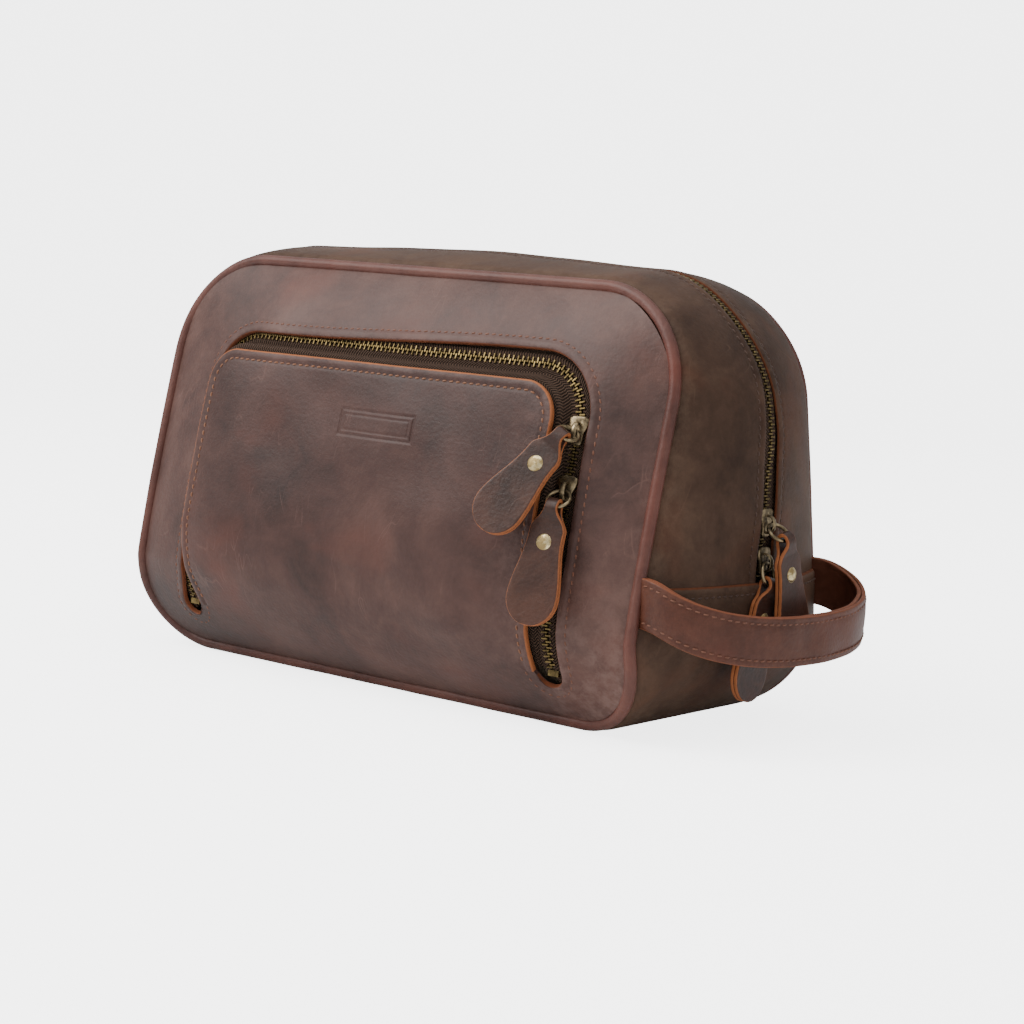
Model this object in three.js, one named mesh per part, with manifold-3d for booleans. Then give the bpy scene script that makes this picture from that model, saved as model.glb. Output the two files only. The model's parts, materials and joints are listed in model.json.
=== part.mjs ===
// A leather toiletry bag that hangs or is carried by a side strap: domed front and back panels edged
// with piping, a gusset closed by a two-slider zip over both ends and the top, a U-shaped base band, a
// front pocket whose flap is cut by an arched two-slider zip, folded leather zip pulls with rivets, and
// a fabric lining.
//
// Millimetres. +X is to the right of the front face, -Y is the front, +Z is up, and the origin is the
// middle of the underside. A "depth" is always measured inwards from the outer leather surface.
import * as THREE from "three";
import { mergeVertices } from "three/addons/utils/BufferGeometryUtils.js";
import Module from "manifold-3d";

const wasm = await Module();
wasm.setup();

// ---- Driving dimensions -------------------------------------------------------------------------
const LEATHER = 2.0; // thickness of one leather layer
const FABRIC = 0.8; // thickness of a zip tape or a lining
const GAP = 0.4; // clearance between neighbouring pieces

const PIPING_RADIUS = 2.8;
const HALF_WIDTH = 132; // to the middle of the piping
const BASE_Z = PIPING_RADIUS; // height of the lower piping's middle
const TOP_Z = 171; // height of the upper piping's middle
const LOW_CORNER = 30;
const TOP_CORNER = 42;

// Half of the bag's depth at the piping: under the bag, at the belly and at the top.
const BASE_HALF_DEPTH = 48;
const BELLY_HALF_DEPTH = 63;
const TOP_HALF_DEPTH = 36;
const BELLY_Z = 40;
const FRONT_DOME = 16; // how far a panel's middle stands out from its piping
const BACK_DOME = 12;
const END_CROWN = 14; // how far the gusset bulges at the ends, and along the top
const TOP_CROWN = 4;

const SEAM_Z = 61; // upper edge of the base band, where the zip ends and the back folds
const ZIP_SLOT = 5; // half of the gap between the two gusset halves

const FLAP_HALF = 91.2; // the pocket flap, and the arched slot round it
const FLAP_TOP = 134.2;
const FLAP_CORNER = 15.2;
const FLAP_PROUD = 6; // how far the flap's upper edge stands out from the panel
const SLOT_INNER = 6.8; // from the zip's middle to the flap
const SLOT_OUTER = 4.6; // from the zip's middle to the panel
const SLOT_END_Z = 17.8;
const FOLD_Z = SLOT_END_Z + (SLOT_INNER + SLOT_OUTER) / 2;

const TAPE_DEPTH = 2.8; // middle of a zip tape, in the slot
const TAPE_TUCK = 1.3; // how much deeper it lies under the leather beside the slot
const TAPE_WIDTH = 14;
const TAPE_TAIL = 6; // how far the main tapes run on below the seam
const TEETH_INNER = 0.6; // from the zip's middle to the near and the far side of a row of teeth
const TEETH_OUTER = 2.6;
const TEETH_HALF_THICKNESS = 0.9;

const STRAP_WIDTH = 19;
const STRAP_LAYER = 1.8;
const STRAP_MIDDLE_Z = 55.5;
const STRAP_START = HALF_WIDTH + 8.5; // its ends stop just clear of the piping they are sewn into
const STRAP_REACH = 30; // how far the strap's loop stands out from its ends
const STRAP_DROOP = 13.5; // how far the loop hangs below its sewn ends

const BOARD_THICKNESS = 2;
const BOARD_MARGIN = 8; // between the base board's long edges and the lower piping
const BOARD_CORNER = 8;
const LINING_INSET = 9; // from the piping to the edge of a lining
const POCKET_BACK_DEPTH = 7.5;
const LINING_DEPTH = 9.5;

// ---- Leather and metal --------------------------------------------------------------------------
const leather = new THREE.MeshStandardMaterial({ color: 0x5a3f38, roughness: 0.55, metalness: 0 });
const strapLeather = new THREE.MeshStandardMaterial({ color: 0x6b4334, roughness: 0.5, metalness: 0 });
const pipingLeather = new THREE.MeshStandardMaterial({ color: 0x5f3a34, roughness: 0.5, metalness: 0 });
const tapeFabric = new THREE.MeshStandardMaterial({ color: 0x2c2522, roughness: 0.9, metalness: 0 });
const liningFabric = new THREE.MeshStandardMaterial({ color: 0x6e5b48, roughness: 0.95, metalness: 0 });
const board = new THREE.MeshStandardMaterial({ color: 0x4a4038, roughness: 0.9, metalness: 0 });
const brass = new THREE.MeshStandardMaterial({ color: 0x8a7448, roughness: 0.35, metalness: 0.9 });
const paleBrass = new THREE.MeshStandardMaterial({ color: 0xb8a468, roughness: 0.35, metalness: 0.9 });

// ---- Solids from rows of points -----------------------------------------------------------------
const smooth = (from, to, value) => THREE.MathUtils.smoothstep(value, from, to);

// A closed body from its corners and triangles, turned inside out if its faces point inwards.
function closedBody(corners, triangles) {
  let volume = 0;
  for (const [a, b, c] of triangles) {
    volume += corners[a].dot(new THREE.Vector3().crossVectors(corners[b], corners[c]));
  }
  const index = triangles.flatMap(([a, b, c]) => (volume < 0 ? [a, c, b] : [a, b, c]));
  const geometry = new THREE.BufferGeometry().setFromPoints(corners).setIndex(index);
  geometry.computeVertexNormals();
  return geometry;
}

// A sheet between two grids of points, outer[row][column] and inner[row][column].
function sheet(outer, inner) {
  const rows = outer.length;
  const columns = outer[0].length;
  const corners = [...outer.flat(), ...inner.flat()];
  const at = (side, i, j) => side * rows * columns + i * columns + j;
  const triangles = [];
  const quad = (a, b, c, d) => triangles.push([a, b, c], [a, c, d]);
  for (let i = 0; i + 1 < rows; i++) {
    for (let j = 0; j + 1 < columns; j++) {
      quad(at(0, i, j), at(0, i + 1, j), at(0, i + 1, j + 1), at(0, i, j + 1));
      quad(at(1, i, j), at(1, i, j + 1), at(1, i + 1, j + 1), at(1, i + 1, j));
    }
  }
  const last = columns - 1;
  for (let i = 0; i + 1 < rows; i++) {
    quad(at(0, i, 0), at(1, i, 0), at(1, i + 1, 0), at(0, i + 1, 0));
    quad(at(0, i, last), at(0, i + 1, last), at(1, i + 1, last), at(1, i, last));
  }
  for (let j = 0; j < last; j++) {
    quad(at(0, 0, j), at(0, 0, j + 1), at(1, 0, j + 1), at(1, 0, j));
    quad(at(0, rows - 1, j), at(1, rows - 1, j), at(1, rows - 1, j + 1), at(0, rows - 1, j + 1));
  }
  return closedBody(corners, triangles);
}

// A round bar through a row of points. It joins its own start when closed is true.
function bar(points, radius, closed, sides = 8) {
  const corners = [];
  const count = points.length;
  const axis = new THREE.Vector3();
  for (let i = 0; i < count; i++) {
    const before = points[closed ? (i + count - 1) % count : Math.max(i - 1, 0)];
    const after = points[closed ? (i + 1) % count : Math.min(i + 1, count - 1)];
    axis.subVectors(after, before).normalize();
    const across = new THREE.Vector3(0, 1, 0).addScaledVector(axis, -axis.y).normalize();
    const out = new THREE.Vector3().crossVectors(axis, across);
    for (let k = 0; k < sides; k++) {
      const turn = (2 * Math.PI * k) / sides;
      const corner = points[i].clone().addScaledVector(across, radius * Math.cos(turn));
      corners.push(corner.addScaledVector(out, radius * Math.sin(turn)));
    }
  }
  const triangles = [];
  for (let i = 0; i < (closed ? count : count - 1); i++) {
    for (let k = 0; k < sides; k++) {
      const [a, b] = [i * sides + k, i * sides + ((k + 1) % sides)];
      const [c, d] = [((i + 1) % count) * sides + k, ((i + 1) % count) * sides + ((k + 1) % sides)];
      triangles.push([a, b, d], [a, d, c]);
    }
  }
  for (let k = 1; !closed && k + 1 < sides; k++) {
    const end = (count - 1) * sides;
    triangles.push([0, k + 1, k], [end, end + k, end + k + 1]);
  }
  return closedBody(corners, triangles);
}

// A three.js geometry as a manifold-3d solid, and back.
function solid(geometry, matrix = new THREE.Matrix4()) {
  const bare = new THREE.BufferGeometry();
  bare.setAttribute("position", geometry.getAttribute("position").clone());
  bare.setIndex(geometry.index);
  const merged = mergeVertices(bare.applyMatrix4(matrix), 1e-3);
  return new wasm.Manifold(
    new wasm.Mesh({
      numProp: 3,
      vertProperties: merged.attributes.position.array,
      triVerts: new Uint32Array(merged.index.array),
    }),
  );
}

function geometryOf(manifold) {
  const mesh = manifold.getMesh();
  const geometry = new THREE.BufferGeometry();
  geometry.setAttribute("position", new THREE.BufferAttribute(mesh.vertProperties, 3));
  geometry.setIndex(new THREE.BufferAttribute(mesh.triVerts, 1));
  geometry.computeVertexNormals();
  return geometry;
}

// A plate cut from a flat shape, thickness deep, from z = start upwards in its own frame.
function plate(shape, thickness, start = 0, curveSegments = 6) {
  const settings = { depth: thickness, bevelEnabled: false, curveSegments };
  return new THREE.ExtrudeGeometry(shape, settings).translate(0, 0, start);
}

// ---- The bag's surfaces -------------------------------------------------------------------------
// Half of the bag's depth at the piping, at height z.
function halfDepth(z) {
  if (z < BELLY_Z) {
    const tuck = (1 - Math.max(z - BASE_Z, 0) / (BELLY_Z - BASE_Z)) ** 1.6;
    return BELLY_HALF_DEPTH - (BELLY_HALF_DEPTH - BASE_HALF_DEPTH) * tuck;
  }
  const rise = ((z - BELLY_Z) / (TOP_Z - BELLY_Z)) ** 1.15;
  return BELLY_HALF_DEPTH - (BELLY_HALF_DEPTH - TOP_HALF_DEPTH) * rise;
}

// How far a panel's outer surface stands from the middle plane. The front's Y is the negative of this.
function panelReach(x, z, dome = FRONT_DOME) {
  const height = (2 * (z - BASE_Z)) / (TOP_Z - BASE_Z) - 1;
  const across = Math.min(Math.abs(x) / HALF_WIDTH, 1);
  return halfDepth(z) + dome * (1 - across ** 3.5) * Math.max(1 - height ** 4, 0);
}

const flapProud = (z) => FLAP_PROUD * smooth(FOLD_Z, FOLD_Z + 60, z);

// Half of a panel's width at height z, when its outline is set in from the middle of the piping.
function panelHalfWidth(z, inset) {
  const below = LOW_CORNER - inset - (z - BASE_Z - inset);
  const above = TOP_CORNER - inset - (TOP_Z - inset - z);
  const half = HALF_WIDTH - inset;
  const rounded = (radius, past) => half - radius + Math.sqrt(Math.max(radius ** 2 - past ** 2, 0));
  if (below > 0) return rounded(LOW_CORNER - inset, below);
  if (above > 0) return rounded(TOP_CORNER - inset, above);
  return half;
}

// Heights of a panel's rows of points, closer together round its corners.
function panelRows(inset, from, to, cornerSteps = 5, sideSteps = 6) {
  const rows = [];
  const low = LOW_CORNER - inset;
  const top = TOP_CORNER - inset;
  for (let k = 0; k <= cornerSteps; k++) {
    rows.push(BASE_Z + inset + low * (1 - Math.cos((k / cornerSteps) * (Math.PI / 2))));
  }
  const [start, end] = [BASE_Z + LOW_CORNER, TOP_Z - TOP_CORNER];
  for (let k = 1; k < sideSteps; k++) rows.push(start + ((end - start) * k) / sideSteps);
  for (let k = 0; k <= cornerSteps; k++) {
    rows.push(TOP_Z - inset - top * (1 - Math.sin((k / cornerSteps) * (Math.PI / 2))));
  }
  return [from, ...rows.filter((z) => z > from + 1 && z < to - 1), to];
}

// A domed panel between two heights. side is -1 for the front and 1 for the back, and extra says how far
// it stands proud at a height.
function panel({ side, depth, thickness, inset, from = 0, to = TOP_Z, extra = () => 0, ...detail }) {
  const { columns = 14, rowSteps = [4, 5] } = detail;
  const low = Math.max(from, BASE_Z + inset);
  const high = Math.min(to, TOP_Z - inset);
  const dome = side < 0 ? FRONT_DOME : BACK_DOME;
  const grid = (deep) =>
    panelRows(inset, low, high, ...rowSteps).map((z) =>
      Array.from({ length: columns + 1 }, (_, j) => {
        const x = panelHalfWidth(z, inset) * Math.sin(((2 * j) / columns - 1) * (Math.PI / 2));
        return new THREE.Vector3(x, side * (panelReach(x, z, dome) + extra(z) - deep), z);
      }),
    );
  return sheet(grid(depth), grid(depth + thickness));
}

const mirrored = ({ x, z, outX, outZ }) => ({ x: -x, z, outX: -outX, outZ });

// Points along an arch: up one leg, over the top, and down the other. out is the way away from the
// middle. With turned true it is a cradle: down one leg, under the bottom, and up the other.
function arch({ half, apex, radius, end, grow = 0, turned = false, steps = [5, 6, 6] }) {
  const [legSteps, cornerSteps, topSteps] = steps;
  const way = turned ? -1 : 1;
  const [wide, high, round] = [half + grow, apex + way * grow, radius + grow];
  const points = [];
  const add = (x, z, outX, outZ) => points.push({ x, z, outX, outZ: way * outZ });
  const springing = high - way * round;
  for (let k = 0; k < legSteps; k++) add(wide, end + ((springing - end) * k) / legSteps, 1, 0);
  for (let k = 0; k <= cornerSteps; k++) {
    const turn = ((k / cornerSteps) * Math.PI) / 2;
    const [c, s] = [Math.cos(turn), Math.sin(turn)];
    add(wide - round + round * c, springing + way * round * s, c, s);
  }
  for (let k = 1; k < topSteps; k++) add((wide - round) * (1 - (2 * k) / topSteps), high, 0, 1);
  const rightSide = points.slice(0, points.length - (topSteps - 1));
  return [...points, ...rightSide.reverse().map(mirrored)];
}

const gussetArch = (end, steps) => arch({ half: HALF_WIDTH, apex: TOP_Z, radius: TOP_CORNER, end, steps });
const gussetCradle = (end, steps) =>
  arch({ half: HALF_WIDTH, apex: BASE_Z, radius: LOW_CORNER, end, turned: true, steps });
const pocketArch = (grow, end, steps) =>
  arch({
    half: FLAP_HALF + SLOT_INNER,
    apex: FLAP_TOP + SLOT_INNER,
    radius: FLAP_CORNER + SLOT_INNER,
    end,
    grow,
    steps,
  });

// How far the gusset bulges beyond its piping at height z, half-way between front and back.
function crown(z) {
  const ends = smooth(8, 44, z);
  const top = smooth(SEAM_Z + 66, TOP_Z, z);
  return (END_CROWN * (1 - top) + TOP_CROWN * top) * ends;
}

// A point on the gusset, y from the middle plane, depth in from its outer surface.
function gussetPoint({ x, z, outX, outZ }, y, depth) {
  const across = Math.min(Math.abs(y) / halfDepth(z), 1);
  const out = PIPING_RADIUS + crown(z) * (1 - across ** 2) - depth;
  return new THREE.Vector3(x + outX * out, y, z + outZ * out);
}

const gussetEdge = (z) => halfDepth(z) - PIPING_RADIUS - GAP;

// A band of the gusset. across gives its columns of y at one station along the path.
function gussetBand(path, across, depth, thickness) {
  const grid = (deep) => path.map((station) => across(station).map((y) => gussetPoint(station, y, deep)));
  return sheet(grid(depth), grid(depth + thickness));
}

// Evenly spaced values, with both ends included.
function spread(from, to, count) {
  return Array.from({ length: count + 1 }, (_, k) => from + ((to - from) * k) / count);
}

// The way straight out of the front panel's surface.
function frontNormal(x, z) {
  const step = 0.5;
  const slopeX = (panelReach(x + step, z) - panelReach(x - step, z)) / (2 * step);
  const slopeZ = (panelReach(x, z + step) - panelReach(x, z - step)) / (2 * step);
  return new THREE.Vector3(-slopeX, -1, -slopeZ).normalize();
}

// A point on the front panel's surface, depth in from it along its own slope.
function frontPoint(x, z, depth) {
  return new THREE.Vector3(x, -panelReach(x, z), z).addScaledVector(frontNormal(x, z), -depth);
}

// ---- Leather shells -----------------------------------------------------------------------------
// The arched hole in the front panel, with the flap's place in it, as a flat shape in X and Z.
function slotShape() {
  const [half, top] = [FLAP_HALF + SLOT_INNER + SLOT_OUTER, FLAP_TOP + SLOT_INNER + SLOT_OUTER];
  const corner = FLAP_CORNER + SLOT_INNER + SLOT_OUTER;
  const end = (SLOT_INNER + SLOT_OUTER) / 2;
  const shape = new THREE.Shape();
  shape.moveTo(-FLAP_HALF, FOLD_Z);
  shape.lineTo(FLAP_HALF, FOLD_Z);
  shape.absarc(FLAP_HALF + end, FOLD_Z, end, Math.PI, 2 * Math.PI);
  shape.lineTo(half, top - corner);
  shape.absarc(half - corner, top - corner, corner, 0, Math.PI / 2);
  shape.lineTo(corner - half, top);
  shape.absarc(corner - half, top - corner, corner, Math.PI / 2, Math.PI);
  shape.lineTo(-half, FOLD_Z);
  shape.absarc(-FLAP_HALF - end, FOLD_Z, end, Math.PI, 2 * Math.PI);
  return shape;
}

function flapShape() {
  const shape = new THREE.Shape();
  shape.moveTo(-FLAP_HALF, FOLD_Z + GAP);
  shape.lineTo(FLAP_HALF, FOLD_Z + GAP);
  shape.lineTo(FLAP_HALF, FLAP_TOP - FLAP_CORNER);
  shape.absarc(FLAP_HALF - FLAP_CORNER, FLAP_TOP - FLAP_CORNER, FLAP_CORNER, 0, Math.PI / 2);
  shape.lineTo(FLAP_CORNER - FLAP_HALF, FLAP_TOP);
  shape.absarc(FLAP_CORNER - FLAP_HALF, FLAP_TOP - FLAP_CORNER, FLAP_CORNER, Math.PI / 2, Math.PI);
  return shape;
}

// A flat X-Z shape pushed from the front through the front panel.
function punch(shape) {
  const length = BELLY_HALF_DEPTH + FRONT_DOME + 40;
  const upright = new THREE.Matrix4().makeRotationX(Math.PI / 2);
  return solid(plate(shape, length), upright);
}

const panelLeather = { depth: 0, thickness: LEATHER, inset: PIPING_RADIUS + GAP };

function frontPanel() {
  const whole = panel({ ...panelLeather, side: -1 });
  return geometryOf(solid(whole).subtract(punch(slotShape())));
}

function pocketFlap() {
  const raised = panel({ ...panelLeather, side: -1, extra: flapProud });
  return geometryOf(solid(raised).intersect(punch(flapShape())));
}

// The back leather above the fold, and below it.
const backPanelUpper = () => panel({ ...panelLeather, side: 1, from: SEAM_Z + GAP });
const backPanelLower = () => panel({ ...panelLeather, side: 1, to: SEAM_Z });

function pipingPoints(side, path) {
  return path.map(({ x, z }) => new THREE.Vector3(x, side * halfDepth(z), z));
}

const PIPING_STEPS = [4, 6, 6];

function frontPiping() {
  const steps = PIPING_STEPS;
  const over = gussetArch(SEAM_Z, steps);
  const under = gussetCradle(SEAM_Z, steps).reverse();
  return bar(pipingPoints(-1, [...over, ...under.slice(1, -1)]), PIPING_RADIUS, true);
}

function rearPipingUpper() {
  return bar(pipingPoints(1, gussetArch(SEAM_Z + GAP, PIPING_STEPS)), PIPING_RADIUS, false);
}

function rearPipingLower() {
  return bar(pipingPoints(1, gussetCradle(SEAM_Z - GAP, [3, 6, 6])), PIPING_RADIUS, false);
}

function upperGusset(side) {
  const columns = ({ z }) => spread(side * ZIP_SLOT, side * gussetEdge(z), 3);
  return gussetBand(gussetArch(SEAM_Z + GAP), columns, 0, LEATHER);
}

function baseBand() {
  const columns = ({ z }) => spread(-gussetEdge(z), gussetEdge(z), 6);
  return gussetBand(gussetCradle(SEAM_Z), columns, 0, LEATHER);
}

function baseBoard() {
  const half = HALF_WIDTH - LOW_CORNER - BOARD_THICKNESS;
  const deep = BASE_HALF_DEPTH - BOARD_MARGIN;
  const corner = BOARD_CORNER;
  const shape = new THREE.Shape();
  shape.moveTo(corner - half, -deep);
  shape.absarc(half - corner, corner - deep, corner, -Math.PI / 2, 0);
  shape.absarc(half - corner, deep - corner, corner, 0, Math.PI / 2);
  shape.absarc(corner - half, deep - corner, corner, Math.PI / 2, Math.PI);
  shape.absarc(corner - half, corner - deep, corner, Math.PI, 1.5 * Math.PI);
  return plate(shape, BOARD_THICKNESS, LEATHER + GAP, 3);
}

// ---- Linings ------------------------------------------------------------------------------------
const liningSheet = (side, depth, from, to) =>
  panel({ side, depth, thickness: FABRIC, inset: LINING_INSET, from, to, columns: 10, rowSteps: [3, 3] });

function liningBase() {
  const reach = (z) => gussetEdge(z) - LINING_INSET - 1;
  const columns = ({ z }) => spread(-reach(z), reach(z), 4);
  const depth = LEATHER + BOARD_THICKNESS + 2 * GAP;
  return gussetBand(gussetCradle(SEAM_Z - TAPE_TAIL, [2, 4, 3]), columns, depth, FABRIC);
}

// ---- Zips ---------------------------------------------------------------------------------------
// The row of teeth grips the edge of its tape, so the tape is drawn from where the teeth end.
function mainTeeth(side) {
  const columns = () => spread(side * TEETH_INNER, side * TEETH_OUTER, 1);
  const thickness = 2 * TEETH_HALF_THICKNESS;
  return gussetBand(gussetArch(SEAM_Z + 1.5), columns, TAPE_DEPTH - TEETH_HALF_THICKNESS, thickness);
}

function mainTape(side) {
  const columns = () => spread(side * (TEETH_OUTER + GAP), side * TAPE_WIDTH, 1);
  return gussetBand(gussetArch(SEAM_Z - TAPE_TAIL), columns, TAPE_DEPTH - FABRIC / 2, FABRIC);
}

const POCKET_STEPS = [5, 5, 6];

// A strip along the pocket's zip. Each of widths is a column's distance from the zip's middle, outwards
// positive, and lift says how far the strip stands out there.
function pocketStrip(widths, end, depth, thickness, lift = () => 0) {
  const columns = widths.map((width) => ({ width, path: pocketArch(width, end, POCKET_STEPS) }));
  const grid = (deep) =>
    columns.map(({ width, path }) => path.map(({ x, z }) => frontPoint(x, z, deep - lift(width, z))));
  return sheet(grid(depth), grid(depth + thickness));
}

const tapeTuck = (width) => -TAPE_TUCK * smooth(TEETH_OUTER + GAP, SLOT_OUTER, Math.abs(width));

function pocketTapeOuter() {
  const widths = [TEETH_OUTER + GAP, SLOT_OUTER, TAPE_WIDTH];
  return pocketStrip(widths, SLOT_END_Z + 2, TAPE_DEPTH - FABRIC / 2, FABRIC, tapeTuck);
}

// The inner tape climbs from the teeth to the underside of the raised flap.
function pocketTapeInner() {
  const lift = (width, z) => flapProud(z) * smooth(3.6, SLOT_INNER, -width) + tapeTuck(width);
  const widths = [-TEETH_OUTER - GAP, -4.2, -5.5, -SLOT_INNER, -TAPE_WIDTH];
  return pocketStrip(widths, FOLD_Z + 2, TAPE_DEPTH - FABRIC / 2, FABRIC, lift);
}

function pocketTeeth(side, end) {
  const widths = [side * TEETH_INNER, side * TEETH_OUTER];
  return pocketStrip(widths, end, TAPE_DEPTH - TEETH_HALF_THICKNESS, 2 * TEETH_HALF_THICKNESS);
}

// ---- Sliders, rings and pulls -------------------------------------------------------------------
// Each zip fitting is built in its own frame: X across the zip, Y up along it, Z out from the bag, with
// the origin in the middle of the slider on the tape.
const SLIDER_LENGTH = 11;
const SLIDER_HALF_WIDTH = 4.2;
const SLIDER_CAVITY = 1.5; // half of the gap between its two plates
const SLIDER_PLATE = 1.0;
const BAIL_HEIGHT = 4.2;
const BAIL_WIDTH = 1.8;
const WIRE_RADIUS = 0.75;
const RING_RADIUS = 4.4;
const RING_HOLE_Y = -0.6; // where the ring passes through the bail
const RING_HOLE_Z = SLIDER_CAVITY + SLIDER_PLATE + 1.5;

const PULL_LENGTH = 46;
const PULL_LEAF = 1.5;
const PULL_SLIT = 0.3; // between the two leaves
const PULL_LOOP = 1.6; // inside radius of the fold round the ring
const PULL_END_RADIUS = 10.5;
const FOLD_CLEARANCE = 0.35; // the fold sits this far above the ring's lowest point, clear of its curve
const RIVET_DOWN = 14;
const RIVET_RADIUS = 1.7;
const RIVET_CAP = 3.1;

function sliderPlate(start) {
  const [long, wide] = [SLIDER_LENGTH / 2, SLIDER_HALF_WIDTH];
  const shape = new THREE.Shape();
  shape.moveTo(-wide * 0.62, -long);
  shape.lineTo(wide * 0.62, -long);
  shape.lineTo(wide * 0.8, 0);
  shape.lineTo(wide, long * 0.55);
  shape.quadraticCurveTo(wide, long, wide * 0.4, long);
  shape.lineTo(-wide * 0.4, long);
  shape.quadraticCurveTo(-wide, long, -wide, long * 0.55);
  shape.lineTo(-wide * 0.8, 0);
  return plate(shape, SLIDER_PLATE, start, 2);
}

// The arch on the slider's face that holds the ring, drawn from the side and cut through for the wire.
function bail() {
  const shape = new THREE.Shape();
  shape.moveTo(-4.4, 0);
  shape.lineTo(3.6, 0);
  shape.quadraticCurveTo(3.6, BAIL_HEIGHT, 0, BAIL_HEIGHT);
  shape.lineTo(-1.6, BAIL_HEIGHT);
  shape.quadraticCurveTo(-4.4, BAIL_HEIGHT, -4.4, 0);
  const hole = new THREE.Path();
  hole.moveTo(1.5, 0.3);
  hole.quadraticCurveTo(1.5, 3, -0.6, 3);
  hole.quadraticCurveTo(-2.7, 3, -2.7, 0.3);
  shape.holes.push(hole);
  const turn = new THREE.Matrix4().makeBasis(
    new THREE.Vector3(0, 1, 0),
    new THREE.Vector3(0, 0, 1),
    new THREE.Vector3(1, 0, 0),
  );
  const base = SLIDER_CAVITY + SLIDER_PLATE - 0.1;
  return solid(plate(shape, BAIL_WIDTH, -BAIL_WIDTH / 2, 3), turn.setPosition(0, 0, base));
}

const boxSolid = (x, y, z, at) => solid(new THREE.BoxGeometry(x, y, z).translate(...at));

// Two plates held apart by the wedge that splits the teeth, with the bail on top. A slider with an open
// side has no lower plate there, so that it leaves the fixed tape behind when its flap opens.
function slider(openSide = 0) {
  let lower = solid(sliderPlate(-SLIDER_CAVITY - SLIDER_PLATE));
  if (openSide) lower = lower.subtract(boxSolid(8, 20, 8, [openSide * 4.2, 0, -4]));
  const wedge = boxSolid(0.5, 3, 2 * SLIDER_CAVITY + 1, [0, SLIDER_LENGTH / 2 - 2, 0]);
  return geometryOf(solid(sliderPlate(SLIDER_CAVITY)).add(lower).add(wedge).add(bail()));
}

const ring = () => new THREE.TorusGeometry(RING_RADIUS, WIRE_RADIUS, 6, 16);

// The outline of a pull: a narrow neck at the ring, square shoulders, and a wide round end.
function pullOutline() {
  const end = PULL_END_RADIUS;
  const shape = new THREE.Shape();
  shape.moveTo(-2.4, 4);
  shape.lineTo(-2.4, -1);
  shape.lineTo(-4, -3);
  shape.lineTo(-7.2, -9);
  shape.quadraticCurveTo(-8, -20, -end, end - PULL_LENGTH);
  shape.absarc(0, end - PULL_LENGTH, end, Math.PI, 2 * Math.PI);
  shape.quadraticCurveTo(8, -20, 7.2, -9);
  shape.lineTo(4, -3);
  shape.lineTo(2.4, -1);
  shape.lineTo(2.4, 4);
  return shape;
}

// The strip seen from the side: two leaves that meet below the ring and loop round its wire.
function pullSide() {
  const [inside, outside, slit] = [PULL_LOOP, PULL_LOOP + PULL_LEAF, PULL_SLIT / 2];
  const [loop, end] = [5, -PULL_LENGTH - 1];
  const shape = new THREE.Shape();
  shape.moveTo(-slit - PULL_LEAF, end);
  shape.lineTo(-slit, end);
  shape.lineTo(-slit, -loop);
  shape.lineTo(-inside, -1);
  shape.absarc(0, 0, inside, Math.PI, 0, true);
  shape.lineTo(inside, -1);
  shape.lineTo(slit, -loop);
  shape.lineTo(slit, end);
  shape.lineTo(slit + PULL_LEAF, end);
  shape.lineTo(slit + PULL_LEAF, -loop - 1);
  shape.lineTo(outside, -1);
  shape.absarc(0, 0, outside, 0, Math.PI);
  shape.lineTo(-outside, -1);
  shape.lineTo(-slit - PULL_LEAF, -loop - 1);
  return shape;
}

// A folded leather strip with a hole through both leaves for its rivet, and the fold's middle as origin.
function pull() {
  const turn = new THREE.Matrix4().makeBasis(
    new THREE.Vector3(0, 0, 1),
    new THREE.Vector3(0, 1, 0),
    new THREE.Vector3(-1, 0, 0),
  );
  const folded = solid(plate(pullSide(), 24, -12, 4), turn);
  const outlined = folded.intersect(solid(plate(pullOutline(), 12, -6, 5)));
  const hole = new THREE.CylinderGeometry(RIVET_RADIUS + GAP, RIVET_RADIUS + GAP, 12, 10);
  hole.rotateX(Math.PI / 2).translate(0, -RIVET_DOWN, 0);
  return geometryOf(outlined.subtract(solid(hole)));
}

function rivet() {
  const face = PULL_SLIT / 2 + PULL_LEAF + 0.25;
  const profile = [
    [0, -face - 0.7],
    [RIVET_CAP * 0.7, -face - 0.6],
    [RIVET_CAP, -face],
    [RIVET_RADIUS, -face],
    [RIVET_RADIUS, face],
    [RIVET_CAP, face],
    [RIVET_CAP * 0.7, face + 0.6],
    [0, face + 0.7],
  ].map(([x, y]) => new THREE.Vector2(x, y));
  return new THREE.LatheGeometry(profile, 10).rotateX(Math.PI / 2).translate(0, -RIVET_DOWN, 0);
}

// ---- The side strap -----------------------------------------------------------------------------
// The strap's loop seen from above, from its front sewn end to its rear one, pushed out by offset.
function strapPath(offset) {
  const half = halfDepth(STRAP_MIDDLE_Z) - 1.6;
  return spread(0, Math.PI, 20).map((turn) => {
    const [c, s] = [Math.cos(turn), Math.sin(turn)];
    const along = -Math.sign(c) * Math.abs(c) ** 0.9;
    const out = Math.abs(s) ** 0.8;
    const lean = 1 + 0.12 * along; // the loop is fuller at the back
    return { y: along * (half + offset), out: out * (STRAP_REACH * lean + offset), share: out };
  });
}

function strapLayer(innerOffset) {
  const edge = (offset, rise) =>
    strapPath(offset).map(({ y, out, share }) => {
      const z = STRAP_MIDDLE_Z - STRAP_DROOP * share + rise;
      return new THREE.Vector3(STRAP_START + out, y, z);
    });
  const grid = (offset) => [edge(offset, -STRAP_WIDTH / 2), edge(offset, STRAP_WIDTH / 2)];
  return sheet(grid(innerOffset + STRAP_LAYER), grid(innerOffset));
}

// ---- Assembly -----------------------------------------------------------------------------------
const bag = new THREE.Group();

function place(name, geometry, material, parent = bag) {
  const mesh = new THREE.Mesh(geometry, material);
  mesh.name = name;
  parent.add(mesh);
  return mesh;
}

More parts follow.
